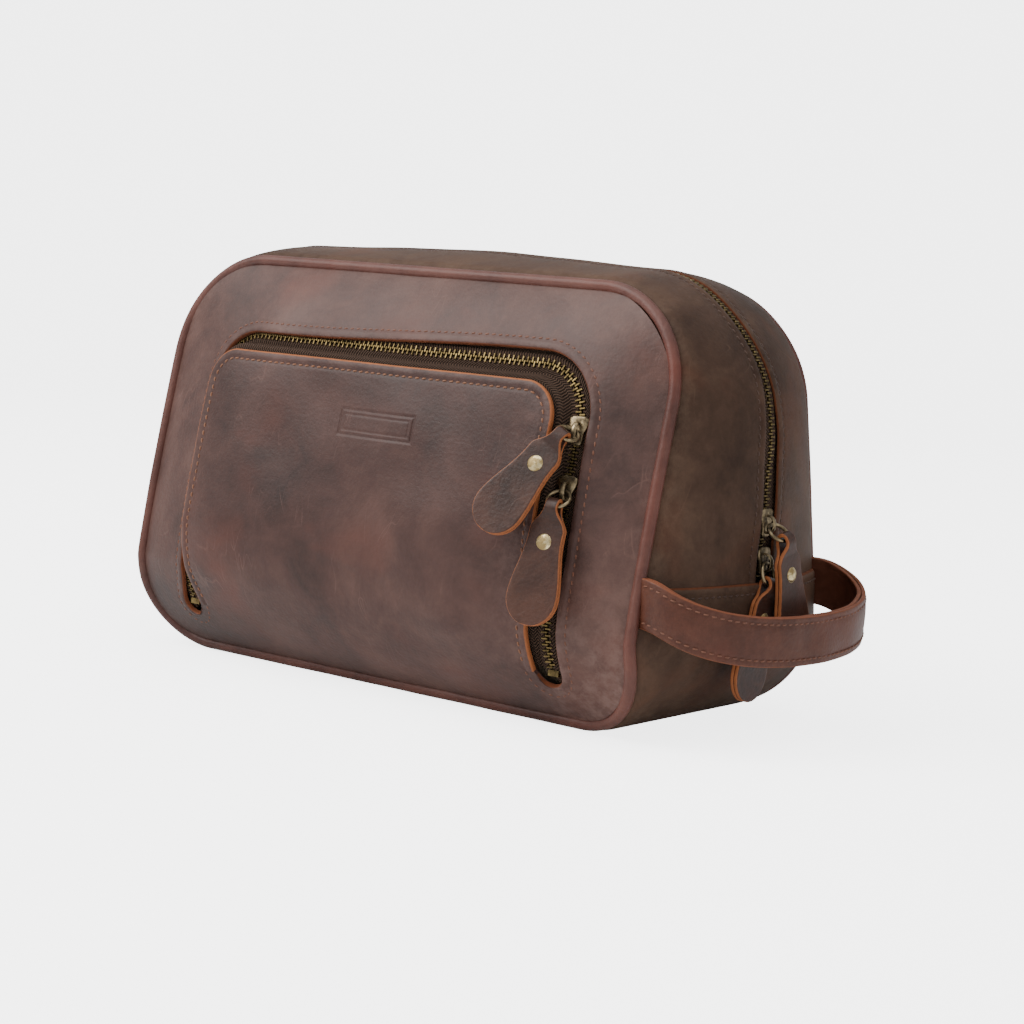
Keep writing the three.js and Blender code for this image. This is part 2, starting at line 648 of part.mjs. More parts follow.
// A slider with its ring, folded pull and rivet. up runs along the zip and out stands away from the
// bag. swing turns the ring sideways in its bail, tilt lifts it from the zip, and lay lays the pull back.
function zipFitting(name, { origin, up, out, swing, tilt, lay, openSide = 0 }) {
  const across = new THREE.Vector3().crossVectors(up, out).normalize();
  const fitting = new THREE.Group();
  fitting.applyMatrix4(new THREE.Matrix4().makeBasis(across, up, out).setPosition(origin));
  bag.add(fitting);
  place(`${name}_slider`, slider(openSide), brass, fitting);

  const swung = new THREE.Group();
  swung.name = `${name}_swing_frame`;
  swung.position.set(0, RING_HOLE_Y, RING_HOLE_Z);
  swung.rotation.z = swing;
  fitting.add(swung);
  const tilted = new THREE.Group();
  tilted.rotation.x = -tilt;
  swung.add(tilted);
  place(`${name}_ring`, ring(), brass, tilted).position.y = -RING_RADIUS;

  const hung = new THREE.Group();
  hung.name = `${name}_lift_frame`;
  hung.position.y = FOLD_CLEARANCE - 2 * RING_RADIUS;
  hung.rotation.x = lay;
  tilted.add(hung);
  place(`${name}_pull`, pull(), leather, hung);
  place(`${name}_rivet`, rivet(), paleBrass, hung);
}

const DEGREE = Math.PI / 180;

// A fitting on the right-hand end of the main zip.
function mainFitting(name, z, angles) {
  zipFitting(name, {
    origin: gussetPoint({ x: HALF_WIDTH, z, outX: 1, outZ: 0 }, 0, TAPE_DEPTH),
    up: new THREE.Vector3(0, 0, 1),
    out: new THREE.Vector3(1, 0, 0),
    ...angles,
  });
}

// A fitting on the straight right-hand leg of the pocket's zip.
function pocketFitting(name, z, angles) {
  const x = FLAP_HALF + SLOT_INNER;
  const out = frontNormal(x, z);
  const up = new THREE.Vector3(0, 0, 1).addScaledVector(out, -out.z).normalize();
  zipFitting(name, { origin: frontPoint(x, z, TAPE_DEPTH), up, out, openSide: 1, ...angles });
}

const STOP_LENGTH = 2.4;

// A small bridge across both rows of teeth, at a zip's end.
function stop(middle, width, thickness) {
  const bridge = new THREE.BoxGeometry(width, thickness, STOP_LENGTH);
  return bridge.translate(middle.x, middle.y, middle.z);
}

function pocketStop(side) {
  const middle = frontPoint(side * (FLAP_HALF + SLOT_INNER), FOLD_Z - 1.5, TAPE_DEPTH);
  return stop(middle, 5, 1.8);
}

function mainStop(side) {
  const station = { x: side * HALF_WIDTH, z: SEAM_Z - 3, outX: side, outZ: 0 };
  return stop(gussetPoint(station, 0, TAPE_DEPTH + 0.7), 1.4, 5);
}

place("front_panel", frontPanel(), leather);
place("pocket_flap", pocketFlap(), leather);
place("back_panel_upper", backPanelUpper(), leather);
place("back_panel_lower", backPanelLower(), leather);
place("front_piping", frontPiping(), pipingLeather);
place("rear_piping_upper", rearPipingUpper(), pipingLeather);
place("rear_piping_lower", rearPipingLower(), pipingLeather);
place("gusset_front", upperGusset(-1), leather);
place("gusset_rear", upperGusset(1), leather);
place("base_band", baseBand(), leather);
place("base_board", baseBoard(), board);

place("pocket_backing", liningSheet(-1, POCKET_BACK_DEPTH), liningFabric);
place("lining_front", liningSheet(-1, LINING_DEPTH), liningFabric);
place("lining_rear_upper", liningSheet(1, LINING_DEPTH, SEAM_Z + GAP), liningFabric);
place("lining_rear_lower", liningSheet(1, LINING_DEPTH, 0, SEAM_Z), liningFabric);
place("lining_base", liningBase(), liningFabric);

place("main_tape_front", mainTape(-1), tapeFabric);
place("main_tape_rear", mainTape(1), tapeFabric);
place("main_teeth_front", mainTeeth(-1), brass);
place("main_teeth_rear", mainTeeth(1), brass);
place("pocket_tape_outer", pocketTapeOuter(), tapeFabric);
place("pocket_tape_inner", pocketTapeInner(), tapeFabric);
place("pocket_teeth_outer", pocketTeeth(1, FOLD_Z + 1), brass);
place("pocket_teeth_inner", pocketTeeth(-1, FOLD_Z + 2), brass);
for (const [side, hand] of [
  [-1, "left"],
  [1, "right"],
]) {
  place(`pocket_stop_${hand}`, pocketStop(side), brass);
  place(`main_stop_${hand}`, mainStop(side), brass);
}

mainFitting("main_lower", 69, { swing: -14 * DEGREE, tilt: 16 * DEGREE, lay: 17 * DEGREE });
mainFitting("main_upper", 84, { swing: 12 * DEGREE, tilt: 53 * DEGREE, lay: 51 * DEGREE });
pocketFitting("pocket_lower", 94, { swing: -5 * DEGREE, tilt: 40 * DEGREE, lay: 40 * DEGREE });
pocketFitting("pocket_upper", 116.5, { swing: -32 * DEGREE, tilt: 62 * DEGREE, lay: 56 * DEGREE });

place("handle_inner", strapLayer(0), strapLeather);
place("handle_outer", strapLayer(STRAP_LAYER + 0.3), strapLeather);

export default bag;
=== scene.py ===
"""A waxed leather toiletry bag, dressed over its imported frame.

Shapes are worked out in millimetres in the frame's own axes: +X to the right of the front face, -Y out of the
front, +Z up from the underside. A depth is measured inwards from the outer leather surface.
"""

import json
import math

import bpy
import numpy as np
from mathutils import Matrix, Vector


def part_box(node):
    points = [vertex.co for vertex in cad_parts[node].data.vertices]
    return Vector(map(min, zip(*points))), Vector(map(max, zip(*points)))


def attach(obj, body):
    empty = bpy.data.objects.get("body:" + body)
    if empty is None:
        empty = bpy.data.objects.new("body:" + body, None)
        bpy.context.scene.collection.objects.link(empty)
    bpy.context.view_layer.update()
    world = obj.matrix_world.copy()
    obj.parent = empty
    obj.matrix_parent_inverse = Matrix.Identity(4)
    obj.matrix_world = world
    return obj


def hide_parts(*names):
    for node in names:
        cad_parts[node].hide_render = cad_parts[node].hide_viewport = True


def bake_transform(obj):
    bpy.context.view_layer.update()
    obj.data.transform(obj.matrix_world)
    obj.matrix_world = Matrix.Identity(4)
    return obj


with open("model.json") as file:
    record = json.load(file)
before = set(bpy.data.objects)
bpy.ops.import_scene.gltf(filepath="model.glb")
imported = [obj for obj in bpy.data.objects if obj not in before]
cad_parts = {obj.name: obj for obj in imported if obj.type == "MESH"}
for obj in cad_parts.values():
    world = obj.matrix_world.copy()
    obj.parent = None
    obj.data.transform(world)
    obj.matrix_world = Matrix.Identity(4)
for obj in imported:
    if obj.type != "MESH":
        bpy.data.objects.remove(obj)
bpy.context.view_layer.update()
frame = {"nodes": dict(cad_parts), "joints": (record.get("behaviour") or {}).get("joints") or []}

MM = 0.001
JOINTS = {joint["name"]: joint for joint in frame["joints"]}


def box_mm(node):
    low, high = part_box(node)
    return np.array(low) / MM, np.array(high) / MM


# ---- Sizes, in millimetres ----
LEATHER = 2.0
PIPING = 2.8
HALF_WIDTH = box_mm("front_piping")[1][0] - PIPING
TOP_Z = box_mm("front_piping")[1][2] - PIPING
BASE_Z = PIPING
LOW_CORNER = 30
TOP_CORNER = 42
CORD = 0.87 * PIPING  # radius of the piping as drawn
PANEL_TUCK = 1.2  # from the piping's middle line to the panel's edge beside it

BASE_HALF_DEPTH = 48
BELLY_HALF_DEPTH = 63
TOP_HALF_DEPTH = 36
BELLY_Z = 40
FRONT_DOME = 16
BACK_DOME = 12
END_CROWN = 14
TOP_CROWN = 4
TOP_HUMP = 3.0
PIPING_TUCK = 3.0  # how far the gusset dips beside the piping

SEAM_Z = box_mm("base_band")[1][2]
BAND_PROUD = 1.7
ZIP_SLOT = box_mm("gusset_rear")[0][1]

FLAP_HALF = box_mm("pocket_flap")[1][0]
FLAP_TOP = box_mm("pocket_flap")[1][2]
FLAP_CORNER = 15.2
FLAP_PROUD = 6
FLAP_CURL = 3.0  # how much further the flap's free left edge stands out
FLAP_DENT = 1.1  # how far it is pressed in under the lower pull
SLOT_INNER = 6.8  # from the pocket zip's middle to the flap
SLOT_OUTER = 4.6  # and to the panel
SLOT_END = (SLOT_INNER + SLOT_OUTER) / 2  # radius of the slot's rounded ends
SLOT_END_Z = 17.8
SLOT_COVER = 4.2  # how far the panel's leather lies over the zip
FOLD_Z = SLOT_END_Z + SLOT_END

TAPE_DEPTH = 2.8
TAPE_WIDTH = 14
TAPE_EDGE = 0.9  # from the zip's middle to the tape's near edge
TAPE_HALF = 0.35
TAPE_TUCK = 1.3
TOOTH_PITCH = 2.4

STITCH_PITCH = 3.3
STITCH_LENGTH = 2.4
STITCH_LEAN = 0.16  # sideways, for each millimetre along
STITCH_INSET = 4.0  # from a cut edge to its row of stitches
STITCH_SUNK = 0.25  # how far a row lies below the leather's surface

STRAP_WIDTH = 19
STRAP_LAYER = 1.8
STRAP_GAP = 0.1  # between its two layers
STRAP_INSET = 2.6  # from its edges to its rows of stitches
STRAP_Z = JOINTS["handle_swing"]["pos_m"][2] / MM
STRAP_START = box_mm("handle_inner")[0][0]
STRAP_REACH = 30
STRAP_DROOP = 13.5

EMBLEM_X, EMBLEM_Z = 8, 110
EMBLEM_WIDE, EMBLEM_TALL = 39, 10

RING_RADIUS = 4.4
WIRE_RADIUS = 0.75
PULL_LENGTH = 46
PULL_END = 10.5  # radius of a pull's round end
PULL_NECK, PULL_WAIST = 2.6, 7.2  # half widths
PULL_LEAF = 1.5
PULL_GAP = 0.08  # half of the gap between its leaves
RIVET_DOWN = 14


# ---- The bag's surfaces ----
def smooth(low, high, value):
    t = np.clip((value - low) / (high - low), 0, 1)
    return t * t * (3 - 2 * t)


def bell(value, width):
    """1 where value is 0, falling away over about width on both sides."""
    return np.exp(-((value / width) ** 2))


def crowded(count):
    """Values from -1 to 1, closer together towards both ends."""
    return np.sin(np.linspace(-1, 1, count) * math.pi / 2)


def unit(vectors):
    return vectors / np.linalg.norm(vectors, axis=-1, keepdims=True)


def waves(a, b, size, seed):
    """A smooth uneven height, about -1 to 1, with swells about size across."""
    rng = np.random.default_rng(seed)
    total = np.zeros(np.broadcast(a, b).shape)
    for _ in range(7):
        heading, phase = rng.uniform(0, 2 * math.pi, 2)
        rate = 2 * math.pi / size * rng.uniform(0.7, 1.5)
        total += np.sin(rate * (a * math.cos(heading) + b * math.sin(heading)) + phase)
    return total / 3.5


def half_depth(z):
    """Half of the bag's depth at the piping."""
    tuck = np.clip(1 - np.maximum(z - BASE_Z, 0) / (BELLY_Z - BASE_Z), 0, 1) ** 1.6
    rise = np.clip((z - BELLY_Z) / (TOP_Z - BELLY_Z), 0, 1) ** 1.15
    below = BELLY_HALF_DEPTH - (BELLY_HALF_DEPTH - BASE_HALF_DEPTH) * tuck
    above = BELLY_HALF_DEPTH - (BELLY_HALF_DEPTH - TOP_HALF_DEPTH) * rise
    return np.where(z < BELLY_Z, below, above)


def from_middle(x, z):
    """How far a place is from a panel's middle, sideways (0 to 1) and up or down (-1 to 1)."""
    across = np.clip(np.abs(x) / HALF_WIDTH, 0, 1)
    return across, np.clip(2 * (z - BASE_Z) / (TOP_Z - BASE_Z) - 1, -1, 1)


def edge_fade(x, z):
    """1 over most of a panel, falling to 0 at its piping."""
    across, height = from_middle(x, z)
    return (1 - across**6) * (1 - height**6)


def panel_reach(x, z, dome):
    """How far a domed panel stands from the middle plane."""
    across, height = from_middle(x, z)
    return half_depth(z) + dome * (1 - across**3.5) * (1 - height**4)


def front_reach(x, z):
    """The front panel, with the slow unevenness of soft leather."""
    swell = 0.9 * waves(x, z, 95, 3) + 0.35 * waves(x, z, 38, 8)
    return panel_reach(x, z, FRONT_DOME) + swell * edge_fade(x, z)


def back_reach(x, z):
    swell = 1.1 * waves(x, z, 110, 12) + 0.4 * waves(x, z, 42, 15)
    return panel_reach(x, z, BACK_DOME) + swell * edge_fade(x, z)


def flap_proud(x, z):
    """How far the flap stands out from the panel. The dent leaves the lower pull room to swing."""
    left = smooth(0, -85, x)
    dent = FLAP_DENT * bell(x - 76, 16) * bell(z - 54, 24) * smooth(FOLD_Z, FOLD_Z + 20, z)
    return (FLAP_PROUD + FLAP_CURL * left) * smooth(FOLD_Z, FOLD_Z + 60 - 20 * left, z) - dent


def flap_reach(x, z):
    return front_reach(x, z) + flap_proud(x, z)


def slopes(height, x, z, step=0.5):
    """The slopes of a height along x and along z."""
    along_x = (height(x + step, z) - height(x - step, z)) / (2 * step)
    along_z = (height(x, z + step) - height(x, z - step)) / (2 * step)
    return along_x, along_z


def slot_distance(x, z):
    """Distance outwards from the middle of the pocket's arched zip. It is negative on the flap's side."""
    radius = FLAP_CORNER + SLOT_INNER
    across = np.abs(x) - (FLAP_HALF + SLOT_INNER - radius)
    above = z - (FLAP_TOP + SLOT_INNER - radius)
    outside = np.hypot(np.maximum(across, 0), np.maximum(above, 0))
    return outside + np.minimum(np.maximum(across, above), 0) - radius


def slot_overlap(x, z):
    """Shifts outline points inwards where the panel lies over the zip, clear of the sliders' runs."""
    out_x, out_z = slopes(slot_distance, x, z)
    over = SLOT_COVER * smooth(70, -64, x) * smooth(FOLD_Z - 3, FOLD_Z + 14, z)
    return x - out_x * over, z - out_z * over


def surface_point(reach, side, x, z, depth):
    """Points depth under a panel, measured along its own slope, and the panel's outward direction there."""
    slope_x, slope_z = slopes(reach, x, z)
    out = unit(np.stack([-slope_x, np.full_like(slope_x, side), -slope_z], -1))
    surface = np.stack([x + 0 * slope_x, side * reach(x, z), z + 0 * slope_x], -1)
    return surface - out * np.asarray(depth)[..., None], out


def crown(z):
    """How far the gusset bulges beyond its piping, half-way between front and back."""
    top = smooth(SEAM_Z + 52, TOP_Z - 6, z)
    return (END_CROWN * (1 - top) + TOP_CROWN * top) * smooth(8, 44, z)


def gusset_point(stations, y, depth):
    """Points on the gusset for path stations and a row or grid of y, and the outward direction at each."""
    x, z, out_x, out_z = [column[:, None] for column in stations]
    y = np.broadcast_to(y, (len(x), np.shape(y)[-1]))
    across = np.clip(np.abs(y) / half_depth(z), 0, 1)
    level = smooth(TOP_Z - 12, TOP_Z, z)
    swell = 0.45 * waves(x + z, y, 60, 21) * (1 - across**4) * smooth(4, 30, z) * (1 - 0.75 * level)
    swell = swell + TOP_HUMP * bell(x, 66) * (1 - across**2) * level
    tuck = PIPING_TUCK * bell(half_depth(z) - np.abs(y), 2.5)
    out = PIPING + crown(z) * (1 - across**2) + swell - tuck - depth
    points = np.stack([x + out_x * out, y, z + out_z * out], -1)
    tilt = 2 * crown(z) * y / half_depth(z) ** 2
    return points, unit(np.stack([out_x + 0 * y, tilt, out_z + 0 * y], -1))


def gusset_edge(z):
    """Half of the gusset's width. Its edges lie against the piping."""
    return half_depth(z) - 1.0


def zip_gap(z):
    """Half of the gap between the gusset halves. It closes up towards the top."""
    return ZIP_SLOT - 1.9 * smooth(106, 150, z)


def main_zip_depth(z):
    """The main zip swells outwards, nearly level with the leather, over the upper half of the bag."""
    return TAPE_DEPTH - 1.5 * smooth(92, 116, z)


# ---- Paths ----
def arch(half, apex, radius, end, step=1.6, turned=False):
    """Stations up one leg, over the top and down the other, as arrays x, z, out_x, out_z.
    turned makes a cradle: down one leg, under the bottom and up the other."""
    way = -1 if turned else 1
    springing = apex - way * radius
    leg = np.linspace(end, springing, max(int(abs(springing - end) / step), 2), endpoint=False)
    turn = np.linspace(0, math.pi / 2, max(int(radius * 1.57 / step), 6))
    middle = np.linspace(half - radius, 0, max(int((half - radius) / step), 4))[1:]
    x = np.concatenate([np.full(len(leg), half), half - radius + radius * np.cos(turn), middle])
    z = np.concatenate([leg, springing + way * radius * np.sin(turn), np.full(len(middle), apex)])
    out_x = np.concatenate([np.ones(len(leg)), np.cos(turn), np.zeros(len(middle))])
    out_z = np.concatenate([np.zeros(len(leg)), way * np.sin(turn), np.full(len(middle), way)])
    mirrored = ((x, -1), (z, 1), (out_x, -1), (out_z, 1))
    return tuple(np.concatenate([values, sign * values[-2::-1]]) for values, sign in mirrored)


def gusset_arch(end, step=1.6):
    return arch(HALF_WIDTH, TOP_Z, TOP_CORNER, end, step)


def gusset_cradle(end, step=1.6):
    return arch(HALF_WIDTH, BASE_Z, LOW_CORNER, end, step, turned=True)


def pocket_arch(grow, end, step=1.6):
    half, apex = FLAP_HALF + SLOT_INNER + grow, FLAP_TOP + SLOT_INNER + grow
    return arch(half, apex, FLAP_CORNER + SLOT_INNER + grow, end, step)


def distances(points):
    """How far along a row of points each point lies."""
    return np.concatenate([[0], np.cumsum(np.linalg.norm(np.diff(points, axis=0), axis=1))])


def resample(values, along, places):
    return np.stack([np.interp(places, along, values[:, k]) for k in range(values.shape[1])], -1)


def walk(points, outs, pitch, reach, start=0.5):
    """Even steps along a row of points: the places, the way along and the outward direction at each.
    reach is how far to both sides of a place its way along is taken from."""
    along = distances(points)
    count = int(along[-1] / pitch)
    places = (np.arange(count) + start) * along[-1] / count
    ahead, behind = resample(points, along, places + reach), resample(points, along, places - reach)
    return resample(points, along, places), unit(ahead - behind), unit(resample(outs, along, places))


# ---- Materials ----
def tint(colour, by):
    return tuple(np.array(colour) * by)


class Nodes:
    """A material's node tree, with short ways to add to it."""

    def __init__(self, name):
        self.material = bpy.data.materials.new(name)
        self.material.use_nodes = True
        self.tree = self.material.node_tree
        self.shader = self.tree.nodes["Principled BSDF"]

    def add(self, kind, inputs=None, **settings):
        node = self.tree.nodes.new(kind)
        for key, value in settings.items():
            setattr(node, key, value)
        for key, value in (inputs or {}).items():
            self.put(value, node.inputs[key])
        return node

    def put(self, value, socket):
        if isinstance(value, bpy.types.NodeSocket):
            self.tree.links.new(value, socket)
        else:
            socket.default_value = value

    def attribute(self, name, output="Fac"):
        return self.add("ShaderNodeAttribute", attribute_name=name).outputs[output]

    def place(self):
        """The leather's own place, which stays with it when it bends."""
        return self.attribute("rest", "Vector")

    def object_place(self):
        return self.add("ShaderNodeTexCoord").outputs["Object"]

    def split(self, vector):
        return self.add("ShaderNodeSeparateXYZ", {"Vector": vector}).outputs

    def noise(self, place, scale, detail=3, roughness=0.55, distortion=0.0):
        settings = {"Scale": scale, "Detail": detail, "Roughness": roughness, "Distortion": distortion}
        return self.add("ShaderNodeTexNoise", {"Vector": place, **settings}).outputs["Fac"]

    def stretch(self, place, scale, rotation=(0, 0, 0)):
        inputs = {"Vector": place, "Scale": scale, "Rotation": rotation}
        return self.add("ShaderNodeMapping", inputs).outputs["Vector"]

    def ramp(self, value, *stops):
        node = self.add("ShaderNodeValToRGB", {"Fac": value})
        ends = node.color_ramp.elements
        while len(ends) < len(stops):
            ends.new(0.5)
        for element, (place, colour) in zip(ends, stops):
            element.position = place
            shade = (colour,) * 3 if isinstance(colour, (int, float)) else colour
            element.color = (*shade, 1)
        return node.outputs["Color"]

    def math(self, operation, a, b=0.0, clamp=False):
        return self.add("ShaderNodeMath", {0: a, 1: b}, operation=operation, use_clamp=clamp).outputs[0]

    def times(self, a, b):
        return self.math("MULTIPLY", a, b)

    def total(self, *parts, clamp=False):
        """A sum of values. A part may be a pair: a value and its weight."""
        parts = [self.times(*part) if isinstance(part, tuple) else part for part in parts]
        result = parts[0]
        for number, part in enumerate(parts[1:], 2):
            result = self.math("ADD", result, part, clamp and number == len(parts))
        return result

    def mix(self, share, a, b, blend="MIX"):
        node = self.add("ShaderNodeMix", data_type="RGBA", blend_type=blend)
        for value, socket in ((share, 0), (a, 6), (b, 7)):
            if socket > 0 and not isinstance(value, bpy.types.NodeSocket):
                value = (*value, 1)
            self.put(value, node.inputs[socket])
        return node.outputs[2]

    def bump(self, height, distance, strength=1.0):
        inputs = {"Height": height, "Distance": distance, "Strength": strength}
        return self.add("ShaderNodeBump", inputs).outputs["Normal"]

    def finish(self, **inputs):
        for key, value in inputs.items():
            socket = self.shader.inputs[key.replace("_", " ").title().replace("Ior", "IOR")]
            if key == "base_color" and not isinstance(value, bpy.types.NodeSocket):
                value = (*value, 1)
            self.put(value, socket)
        return self.material


def hairlines(nodes, place, angle, scale, width):
    """Long, gently curving hairlines, drawn where a stretched noise crosses its middle value."""
    drawn = nodes.stretch(place, (scale, scale * 0.3, scale * 0.3), (0.4 * angle, angle, 0))
    level = nodes.noise(drawn, 1.0, 2, 0.5, 0.35)
    off = nodes.math("ABSOLUTE", nodes.math("SUBTRACT", level, 0.5))
    return nodes.ramp(off, (0.0, 1.0), (width, 0.0))


def leather(name, dark, middle, light, raw=(0.21, 0.062, 0.024), roughness=0.5, specular=0.3):
    """Waxed pull-up leather: mottled, lighter where it is rubbed, with raw tan at its cut edges."""
    nodes = Nodes(name)
    place = nodes.place()
    cloud = nodes.noise(place, 13, 5, 0.6, 0.7)
    patch = nodes.noise(place, 46, 4, 0.62, 0.9)
    fleck = nodes.noise(place, 420, 3, 0.6)
    mottle = nodes.total((cloud, 0.62), (patch, 0.3), (fleck, 0.08))
    colour = nodes.ramp(mottle, (0.36, dark), (0.5, middle), (0.66, light))

    ruddy = nodes.ramp(nodes.noise(place, 24, 3, 0.5, 0.4), (0.56, 0.0), (0.74, 0.45))
    colour = nodes.mix(ruddy, colour, tint(light, (1.15, 0.72, 0.6)))

    # Painted shade: an attribute darkens the colour over the pocket flap and on the panel beside its fold.
    deep = nodes.mix(1.0, colour, (0.68, 0.6, 0.58), "MULTIPLY")
    colour = nodes.mix(nodes.attribute("deep"), colour, deep)

    lines = hairlines(nodes, place, 0.3, 34, 0.005)
    for angle, scale in ((1.4, 47), (2.3, 60)):
        lines = nodes.math("MAXIMUM", lines, hairlines(nodes, place, angle, scale, 0.004))
    lines = nodes.times(lines, nodes.ramp(nodes.noise(place, 42, 3), (0.55, 0.0), (0.66, 1.0)))
    colour = nodes.mix(nodes.times(lines, 0.2), colour, tint(light, 1.8))

    scuff = nodes.ramp(nodes.noise(place, 160, 5, 0.7), (0.42, 0.0), (0.62, 1.0))
    wear = nodes.math("MULTIPLY", nodes.attribute("wear"), nodes.times(scuff, 0.7), True)
    colour = nodes.mix(wear, colour, tint(light, (1.5, 1.7, 1.75)))

    fray = nodes.times(nodes.noise(place, 700, 2), 0.5)
    edge = nodes.total(nodes.attribute("raw"), nodes.math("SUBTRACT", fray, 0.25), clamp=True)
    edge = nodes.ramp(edge, (0.3, 0.0), (0.75, 1.0))
    colour = nodes.mix(edge, colour, nodes.mix(nodes.noise(place, 300, 3), tint(raw, 0.55), raw))

    cells = nodes.add("ShaderNodeTexVoronoi", {"Vector": place, "Scale": 620, "Randomness": 1.0})
    pebble = nodes.math("POWER", cells.outputs["Distance"], 0.6)
    pores = nodes.noise(place, 1500, 2)
    creases = nodes.noise(nodes.stretch(place, (1, 1, 2.2)), 110, 4, 0.6, 1.4)
    height = nodes.total((pebble, 0.55), (pores, 0.35), (creases, 0.9))
    height = nodes.math("SUBTRACT", height, nodes.times(lines, 0.25))
    normal = nodes.bump(height, 0.00022, 0.55)

    rough = nodes.total((patch, 0.22), roughness - 0.11, (edge, 0.25), clamp=True)
    return nodes.finish(base_color=colour, roughness=rough, normal=normal, specular_ior_level=specular)


def metal(name, bright, patina, roughness, amount):
    """Cast or drawn brass with dark patina left in its low places."""
    nodes = Nodes(name)
    place = nodes.object_place()
    stain = nodes.noise(place, 260, 5, 0.65)
    grain = nodes.noise(place, 1800, 2)
    share = nodes.ramp(stain, (0.5 - amount / 2, 1.0), (0.62, 0.0))
    rough = nodes.total((share, 0.3), (grain, 0.16), roughness - 0.08, clamp=True)
    normal = nodes.bump(nodes.total(grain, (stain, 0.8)), 0.00006, 0.6)
    colour = nodes.mix(share, bright, patina)
    return nodes.finish(base_color=colour, metallic=1.0, roughness=rough, normal=normal)


def woven_tape(name, colour):
    """Herringbone zip tape. The weave attribute holds the distance along and across it, in metres."""
    nodes = Nodes(name)
    parts = nodes.split(nodes.attribute("weave", "Vector"))
    zigzag = nodes.math("PINGPONG", parts["Y"], 1.9 * MM)
    slant = nodes.math("DIVIDE", nodes.total(parts["X"], zigzag), 1.3 * MM)
    twill = nodes.math("SINE", nodes.times(slant, 2 * math.pi))
    ridge = nodes.total((twill, 0.5), 0.5)
    threads = nodes.math("SINE", nodes.times(parts["Y"], 2 * math.pi / (0.33 * MM)))
    fibre = nodes.noise(nodes.place(), 2600, 2)
    shade = nodes.mix(ridge, tint(colour, 0.12), tint(colour, 1.9))
    shade = nodes.mix(nodes.times(fibre, 0.12), shade, tint(colour, 2.2))
    normal = nodes.bump(nodes.total(ridge, (threads, 0.15)), 0.0004, 1.0)
    return nodes.finish(base_color=shade, roughness=0.8, normal=normal, specular_ior_level=0.12)


def cotton(name, colour):
    """Plain-woven lining."""
    nodes = Nodes(name)
    place = nodes.place()
    parts = nodes.split(place)
    rate = 2 * math.pi / (0.7 * MM)
    warp = nodes.math("SINE", nodes.times(nodes.total(parts["X"], parts["Y"]), rate))
    weft = nodes.math("SINE", nodes.times(parts["Z"], rate))
    weave = nodes.total((nodes.times(warp, weft), 0.5), 0.5)
    slub = nodes.noise(nodes.stretch(place, (1, 1, 8)), 140, 3)
    shade = nodes.mix(weave, tint(colour, 0.7), colour)
    shade = nodes.mix(nodes.times(slub, 0.5), shade, tint(colour, 1.35))
    normal = nodes.bump(nodes.total(weave, slub), 0.00018, 0.8)
    return nodes.finish(base_color=shade, roughness=0.92, normal=normal)


def thread(name, colour):
    nodes = Nodes(name)
    place = nodes.place()
    twist = nodes.noise(nodes.stretch(place, (1, 1, 1), (0.7, 0.5, 0.2)), 2200, 2)
    shade = nodes.mix(nodes.noise(place, 60, 3), tint(colour, 0.45), colour)
    return nodes.finish(base_color=shade, roughness=0.62, normal=nodes.bump(twist, 0.0001, 0.7))


def fibreboard(name, colour):
    nodes = Nodes(name)
    fibre = nodes.noise(nodes.object_place(), 500, 4, 0.7)
    shade = nodes.mix(fibre, tint(colour, 0.6), tint(colour, 1.4))
    return nodes.finish(base_color=shade, roughness=0.9, normal=nodes.bump(fibre, 0.0002, 0.6))


PANEL_TONES = ((0.03, 0.0142, 0.0113), (0.065, 0.0305, 0.024), (0.112, 0.058, 0.046))
END_TONES = ((0.027, 0.0145, 0.0096), (0.055, 0.0302, 0.0198), (0.095, 0.055, 0.036))
STRAP_TONES = ((0.03, 0.0092, 0.0046), (0.06, 0.0175, 0.0088), (0.092, 0.029, 0.0155))
PIPING_TONES = ((0.044, 0.0145, 0.0105), (0.08, 0.0275, 0.02), (0.13, 0.05, 0.036))
PULL_TONES = ((0.015, 0.0062, 0.004), (0.033, 0.0128, 0.008), (0.066, 0.025, 0.015))
BRIGHT_EDGE = (0.36, 0.115, 0.038)
DULL_EDGE = (0.13, 0.042, 0.018)

panel_leather = leather("panel_leather", *PANEL_TONES)
flap_leather = leather("flap_leather", *PANEL_TONES, raw=BRIGHT_EDGE)
gusset_leather = leather("gusset_leather", *END_TONES, raw=DULL_EDGE, roughness=0.58, specular=0.12)
piping_leather = leather("piping_leather", *PIPING_TONES, roughness=0.45)
strap_leather = leather("strap_leather", *STRAP_TONES, roughness=0.45)
pull_leather = leather("pull_leather", *PULL_TONES, raw=BRIGHT_EDGE, roughness=0.42)
tooth_brass = metal("tooth_brass", (0.2, 0.145, 0.06), (0.02, 0.0145, 0.008), 0.4, 0.6)
slider_bronze = metal("slider_bronze", (0.34, 0.265, 0.155), (0.05, 0.038, 0.024), 0.3, 0.3)
rivet_brass = metal("rivet_brass", (0.72, 0.6, 0.34), (0.3, 0.22, 0.1), 0.26, 0.05)
tape_fabric = woven_tape("tape_fabric", (0.048, 0.029, 0.02))
lining_cotton = cotton("lining_cotton", (0.16, 0.12, 0.08))
tan_thread = thread("tan_thread", (0.26, 0.105, 0.048))
red_thread = thread("red_thread", (0.19, 0.07, 0.036))
dark_thread = thread("dark_thread", (0.07, 0.032, 0.018))
board_fibre = fibreboard("board_fibre", (0.12, 0.095, 0.07))


# ---- Mesh building ----
def linked(name, data):
    """A new object in the scene."""
    thing = bpy.data.objects.new(name, data)
    bpy.context.scene.collection.objects.link(thing)
    return thing


